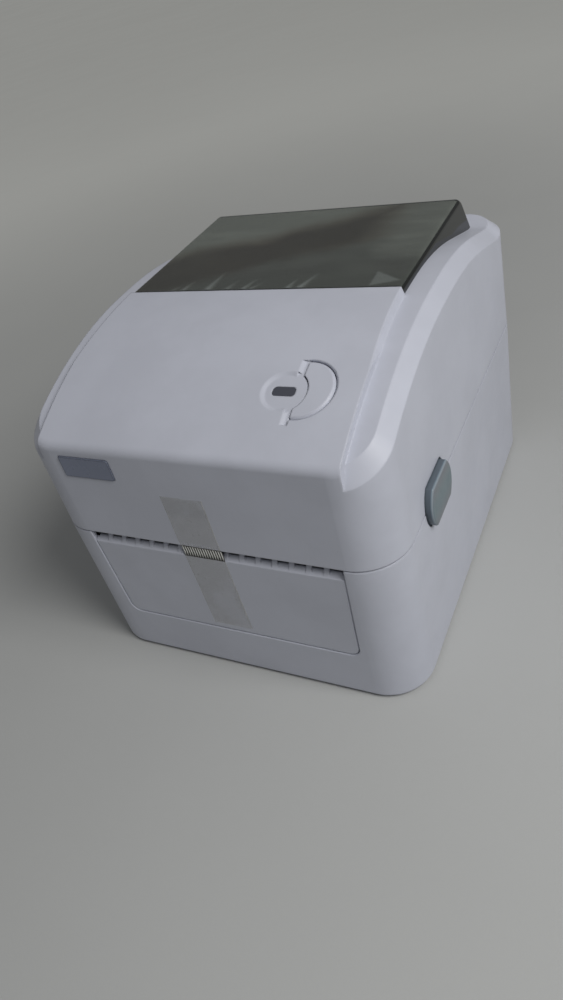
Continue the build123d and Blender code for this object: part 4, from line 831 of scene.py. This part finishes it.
def make_springs(material):
    for word in ("right", "left"):
        node = f"release_spring_{word}"
        low, high = corners(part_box(node))
        middle = (low + high) / 2
        fixed, free = (low.x, high.x) if word == "right" else (high.x, low.x)
        coil(f"coil_{word}", ((fixed, middle.y, middle.z), (free, middle.y, middle.z)),
             RELEASE_SPRING_R, RELEASE_SPRING_TURNS, material, "base",
             [node])
    low, high = corners(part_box("head_springs"))
    middle_y = (low.y + high.y) / 2
    for word, x, nodes in (("right", high.x - HEAD_SPRING_R, ["head_springs"]),
                           ("left", low.x + HEAD_SPRING_R, [])):
        coil(f"head_coil_{word}", ((x, middle_y, high.z), (x, middle_y, low.z)),
             HEAD_SPRING_R, HEAD_SPRING_TURNS, material, "cover",
             nodes)


# The tape, cut at the seam

TAPE_T = 0.05 * MM
TAPE_OFF = 2 * TAPE_T
TAPE_COLUMNS = 176
UPPER_ROWS = 6
LOWER_ROWS = 6
BRIDGE_ROWS = 8
SEAM_GAP = 0.1 * MM
PLEAT_PITCH = 1.35 * MM
PLEAT_DEPTH = 0.35 * MM
PLEAT_RISE = 2.5
UPPER_PLEAT = 0.3
RIDGE_CONTRAST = 3.0


def tape_columns(path):
    """Columns of points across the tape, and for each point 1 on the ridge of a pleat, else 0.
    The path runs up the tape and gives y, z and the depth of the pleats from 0 to 1."""
    columns, ridges = [], []
    for step in range(TAPE_COLUMNS + 1):
        across = TAPE_WIDTH * step / TAPE_COLUMNS
        wave = 0.5 + 0.5 * math.cos(2 * math.pi * across / PLEAT_PITCH)
        ridge = clamped(RIDGE_CONTRAST * (0.5 - wave) + 0.5)
        column = []
        for y, z, pleated in path:
            x = TAPE_LEFT + across + (TAPE_TOP_Z - z) * TAPE_SLANT
            column.append((x, y + PLEAT_DEPTH * pleated * wave, z))
            ridges.append(pleated * ridge)
        columns.append(column)
    return columns, ridges


def make_tape(material):
    """One half on the cover, and one on the base that bridges the slot up to the seam."""
    upper = []
    for step in range(UPPER_ROWS + 1):
        z = COVER_LOW_Z + SEAM_GAP + (TAPE_TOP_Z - COVER_LOW_Z) * step / UPPER_ROWS
        y = COVER_FACE_Y + COVER_LEAN * (z - COVER_LOW_Z) - TAPE_OFF
        upper.append((y, z, UPPER_PLEAT if step == 0 else 0.0))
    lower = []
    for step in range(LOWER_ROWS + 1):
        z = TAPE_LOW_Z + (INSERT_LIP_Z - TAPE_LOW_Z) * step / LOWER_ROWS
        lower.append((INSERT_FACE_Y - TAPE_OFF, z, 0.0))
    for step in range(1, BRIDGE_ROWS + 1):
        share = step / BRIDGE_ROWS
        z = INSERT_LIP_Z + (SEAM_Z - INSERT_LIP_Z) * share
        lower.append((INSERT_FACE_Y - TAPE_OFF, z, min(1.0, PLEAT_RISE * share)))
    for name, path, body in (("tape_upper", upper, "cover"), ("tape_lower", lower, "base")):
        columns, ridges = tape_columns(path)
        vertices, faces = sheet_of(columns, TAPE_T, (0, -1, 0))
        piece(name, vertices, faces, material, body, ("pleat", ridges + ridges))


# Protective film on the window

FILM_T = 0.03 * MM
FILM_OFF = 0.08 * MM
FILM_HIGH = 0.24 * MM
FILM_FRONT = 1.2 * MM
FILM_BACK = 11.5 * MM
RAY_START = 10.0 * MM

# Columns of the film, in mm
FILM_FLAT = 68.4
FILM_ROUND = 3.0
FILM_ROUND_ANGLES = (14, 27, 39, 50, 59)
FILM_STEP = 0.6

# Wrinkles: foot, tip and half width in mm, and height from 0 to 1
WRINKLES = (
    ((-47, -13.2), (-45, -8), 1.4, 0.6),
    ((-41, -13.2), (-39, -3), 1.6, 0.8),
    ((-27, -13.2), (-26, 5), 2.0, 1.0),
    ((-16, -13.2), (-14, -5), 1.8, 0.7),
    ((-7, -13.2), (-4, -3), 1.6, 0.9),
    ((-3, -13.2), (2, -5), 1.2, 0.6),
    ((16.5, -13.2), (18, -4), 1.6, 0.9),
    ((22.5, -13.2), (26.5, 1), 1.8, 1.0),
)

# Shares of the half width at the foot and at the tip, and of the height at the tip
WRINKLE_WIDTH = (1.05, 0.25)
TIP_HEIGHT = 0.3

# Blister: the corners of a triangle and the width of its slope in mm, and its height
BLISTER = ((55.5, -13.2), (55.0, 2.5), (70.0, -8.0))
BLISTER_EDGE = 1.2
BLISTER_HEIGHT = 0.6


def right_of(place, start, end):
    """Distance from the line through two points, positive on its right."""
    along = (end[0] - start[0], end[1] - start[1])
    aside = (place[0] - start[0], place[1] - start[1])
    return (along[1] * aside[0] - along[0] * aside[1]) / math.hypot(*along)


def lift_of(x, y):
    """How far the film stands off at a point in mm, from 0 to 1."""
    highest = 0.0
    for (foot_x, foot_y), (tip_x, tip_y), half, height in WRINKLES:
        dx, dy = tip_x - foot_x, tip_y - foot_y
        along = clamped(((x - foot_x) * dx + (y - foot_y) * dy) / (dx * dx + dy * dy))
        gap = math.hypot(x - foot_x - along * dx, y - foot_y - along * dy)
        at_foot, at_tip = WRINKLE_WIDTH
        width = half * (at_foot - (at_foot - at_tip) * along)
        profile = math.exp(-((gap / width) ** 2)) * (1 - (1 - TIP_HEIGHT) * along)
        highest = max(highest, height * profile)
    sides = zip(BLISTER, BLISTER[1:] + BLISTER[:1])
    inside = min(right_of((x, y), start, end) for start, end in sides)
    return max(highest, BLISTER_HEIGHT * clamped(inside / BLISTER_EDGE))


def film_places():
    """Places of the film's columns along X in mm, closer together over its rounded sides."""
    half = round(FILM_FLAT / FILM_STEP)
    flat = [step * FILM_STEP for step in range(-half, half + 1)]
    sides = [FILM_FLAT + FILM_ROUND * math.sin(math.radians(angle))
             for angle in FILM_ROUND_ANGLES]
    return [-x for x in reversed(sides)] + flat + sides


def make_film(material):
    mesh = NODES["window"].data
    window = BVHTree.FromPolygons([v.co for v in mesh.vertices],
                                  [p.vertices for p in mesh.polygons])
    low, high = corners(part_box("window"))
    front_y, back_y = low.y + FILM_FRONT, high.y - FILM_BACK
    steps = round((back_y - front_y) / (FILM_STEP * MM))
    columns, lifts = [], []
    for x in film_places():
        column = []
        for step in range(steps + 1):
            y = front_y + (back_y - front_y) * step / steps
            hit = window.ray_cast(Vector((x * MM, y, high.z + RAY_START)), Vector((0, 0, -1)))[0]
            lift = lift_of(x, y / MM)
            column.append((x * MM, y, hit.z + FILM_OFF + FILM_HIGH * lift))
            lifts.append(lift)
        columns.append(column)
    vertices, faces = sheet_of(columns, FILM_T, (0, 0, 1))
    piece("window_film", vertices, faces, material, "cover",
          ("lift", lifts + lifts))


# Marks on the power switch

SWITCH_AT = Vector((50.0, 104.0, 20.0)) * MM
SWITCH_TILT = math.radians(-8.0)
FACE_LEAN = math.atan(1.3 / 7.4)
FACE_MIDDLE = (3.7 * MM, 1.55 * MM)
MARK_PROUD = 0.04 * MM
CIRCLE_POINTS = 32
CIRCLE_R = 1.7 * MM
CIRCLE_INNER_R = 1.25 * MM
BAR_HALF = (0.24 * MM, 1.7 * MM)
BAR_SLIT_HALF = (0.02 * MM, 1.5 * MM)


def switch_mark(name, outer, inner, side, material):
    """Painted mark on one face of the rocker, between an outer and an inner outline."""
    place = (Matrix.Translation(SWITCH_AT) @ Matrix.Rotation(SWITCH_TILT, 4, "Z")
             @ Matrix.Translation((side * FACE_MIDDLE[0], FACE_MIDDLE[1] + MARK_PROUD, 0))
             @ Matrix.Rotation(side * FACE_LEAN, 4, "Z"))
    flat = [Vector((x, 0, z)) for x, z in outer + inner]
    deep = [v - Vector((0, 2 * MARK_PROUD, 0)) for v in flat]
    count, size = len(outer), len(flat)
    faces = []
    for k in range(count):
        following = (k + 1) % count
        a, b, c, d = k, following, count + following, count + k
        faces.append((a, b, c, d))
        faces.append((d + size, c + size, b + size, a + size))
        faces.append((a + size, b + size, b, a))
        faces.append((d, c, c + size, d + size))
    vertices = [tuple(place @ v) for v in flat + deep]
    piece(name, vertices, faces, material, "rocker")


def circle(radius):
    angles = [2 * math.pi * k / CIRCLE_POINTS for k in range(CIRCLE_POINTS)]
    return [(radius * math.cos(angle), radius * math.sin(angle)) for angle in angles]


def bar(half_x, half_z):
    return [(-half_x, -half_z), (half_x, -half_z), (half_x, half_z), (-half_x, half_z)]


def make_marks(material):
    switch_mark("mark_off", circle(CIRCLE_R), circle(CIRCLE_INNER_R), -1, material)
    switch_mark("mark_on", bar(*BAR_HALF), bar(*BAR_SLIT_HALF), 1, material)


make_camera()
make_light()
make_floor()
paint(make_materials())
make_springs(NODES["gear_plate"].data.materials[0])
make_tape(tape_material())
make_film(film_material())
make_marks(plastic("mark_white", MARKS, rough=0.5, grain=3000.0, relief=0.1, edge=FINE_EDGE))

bpy.context.scene.view_settings.view_transform = "Standard"
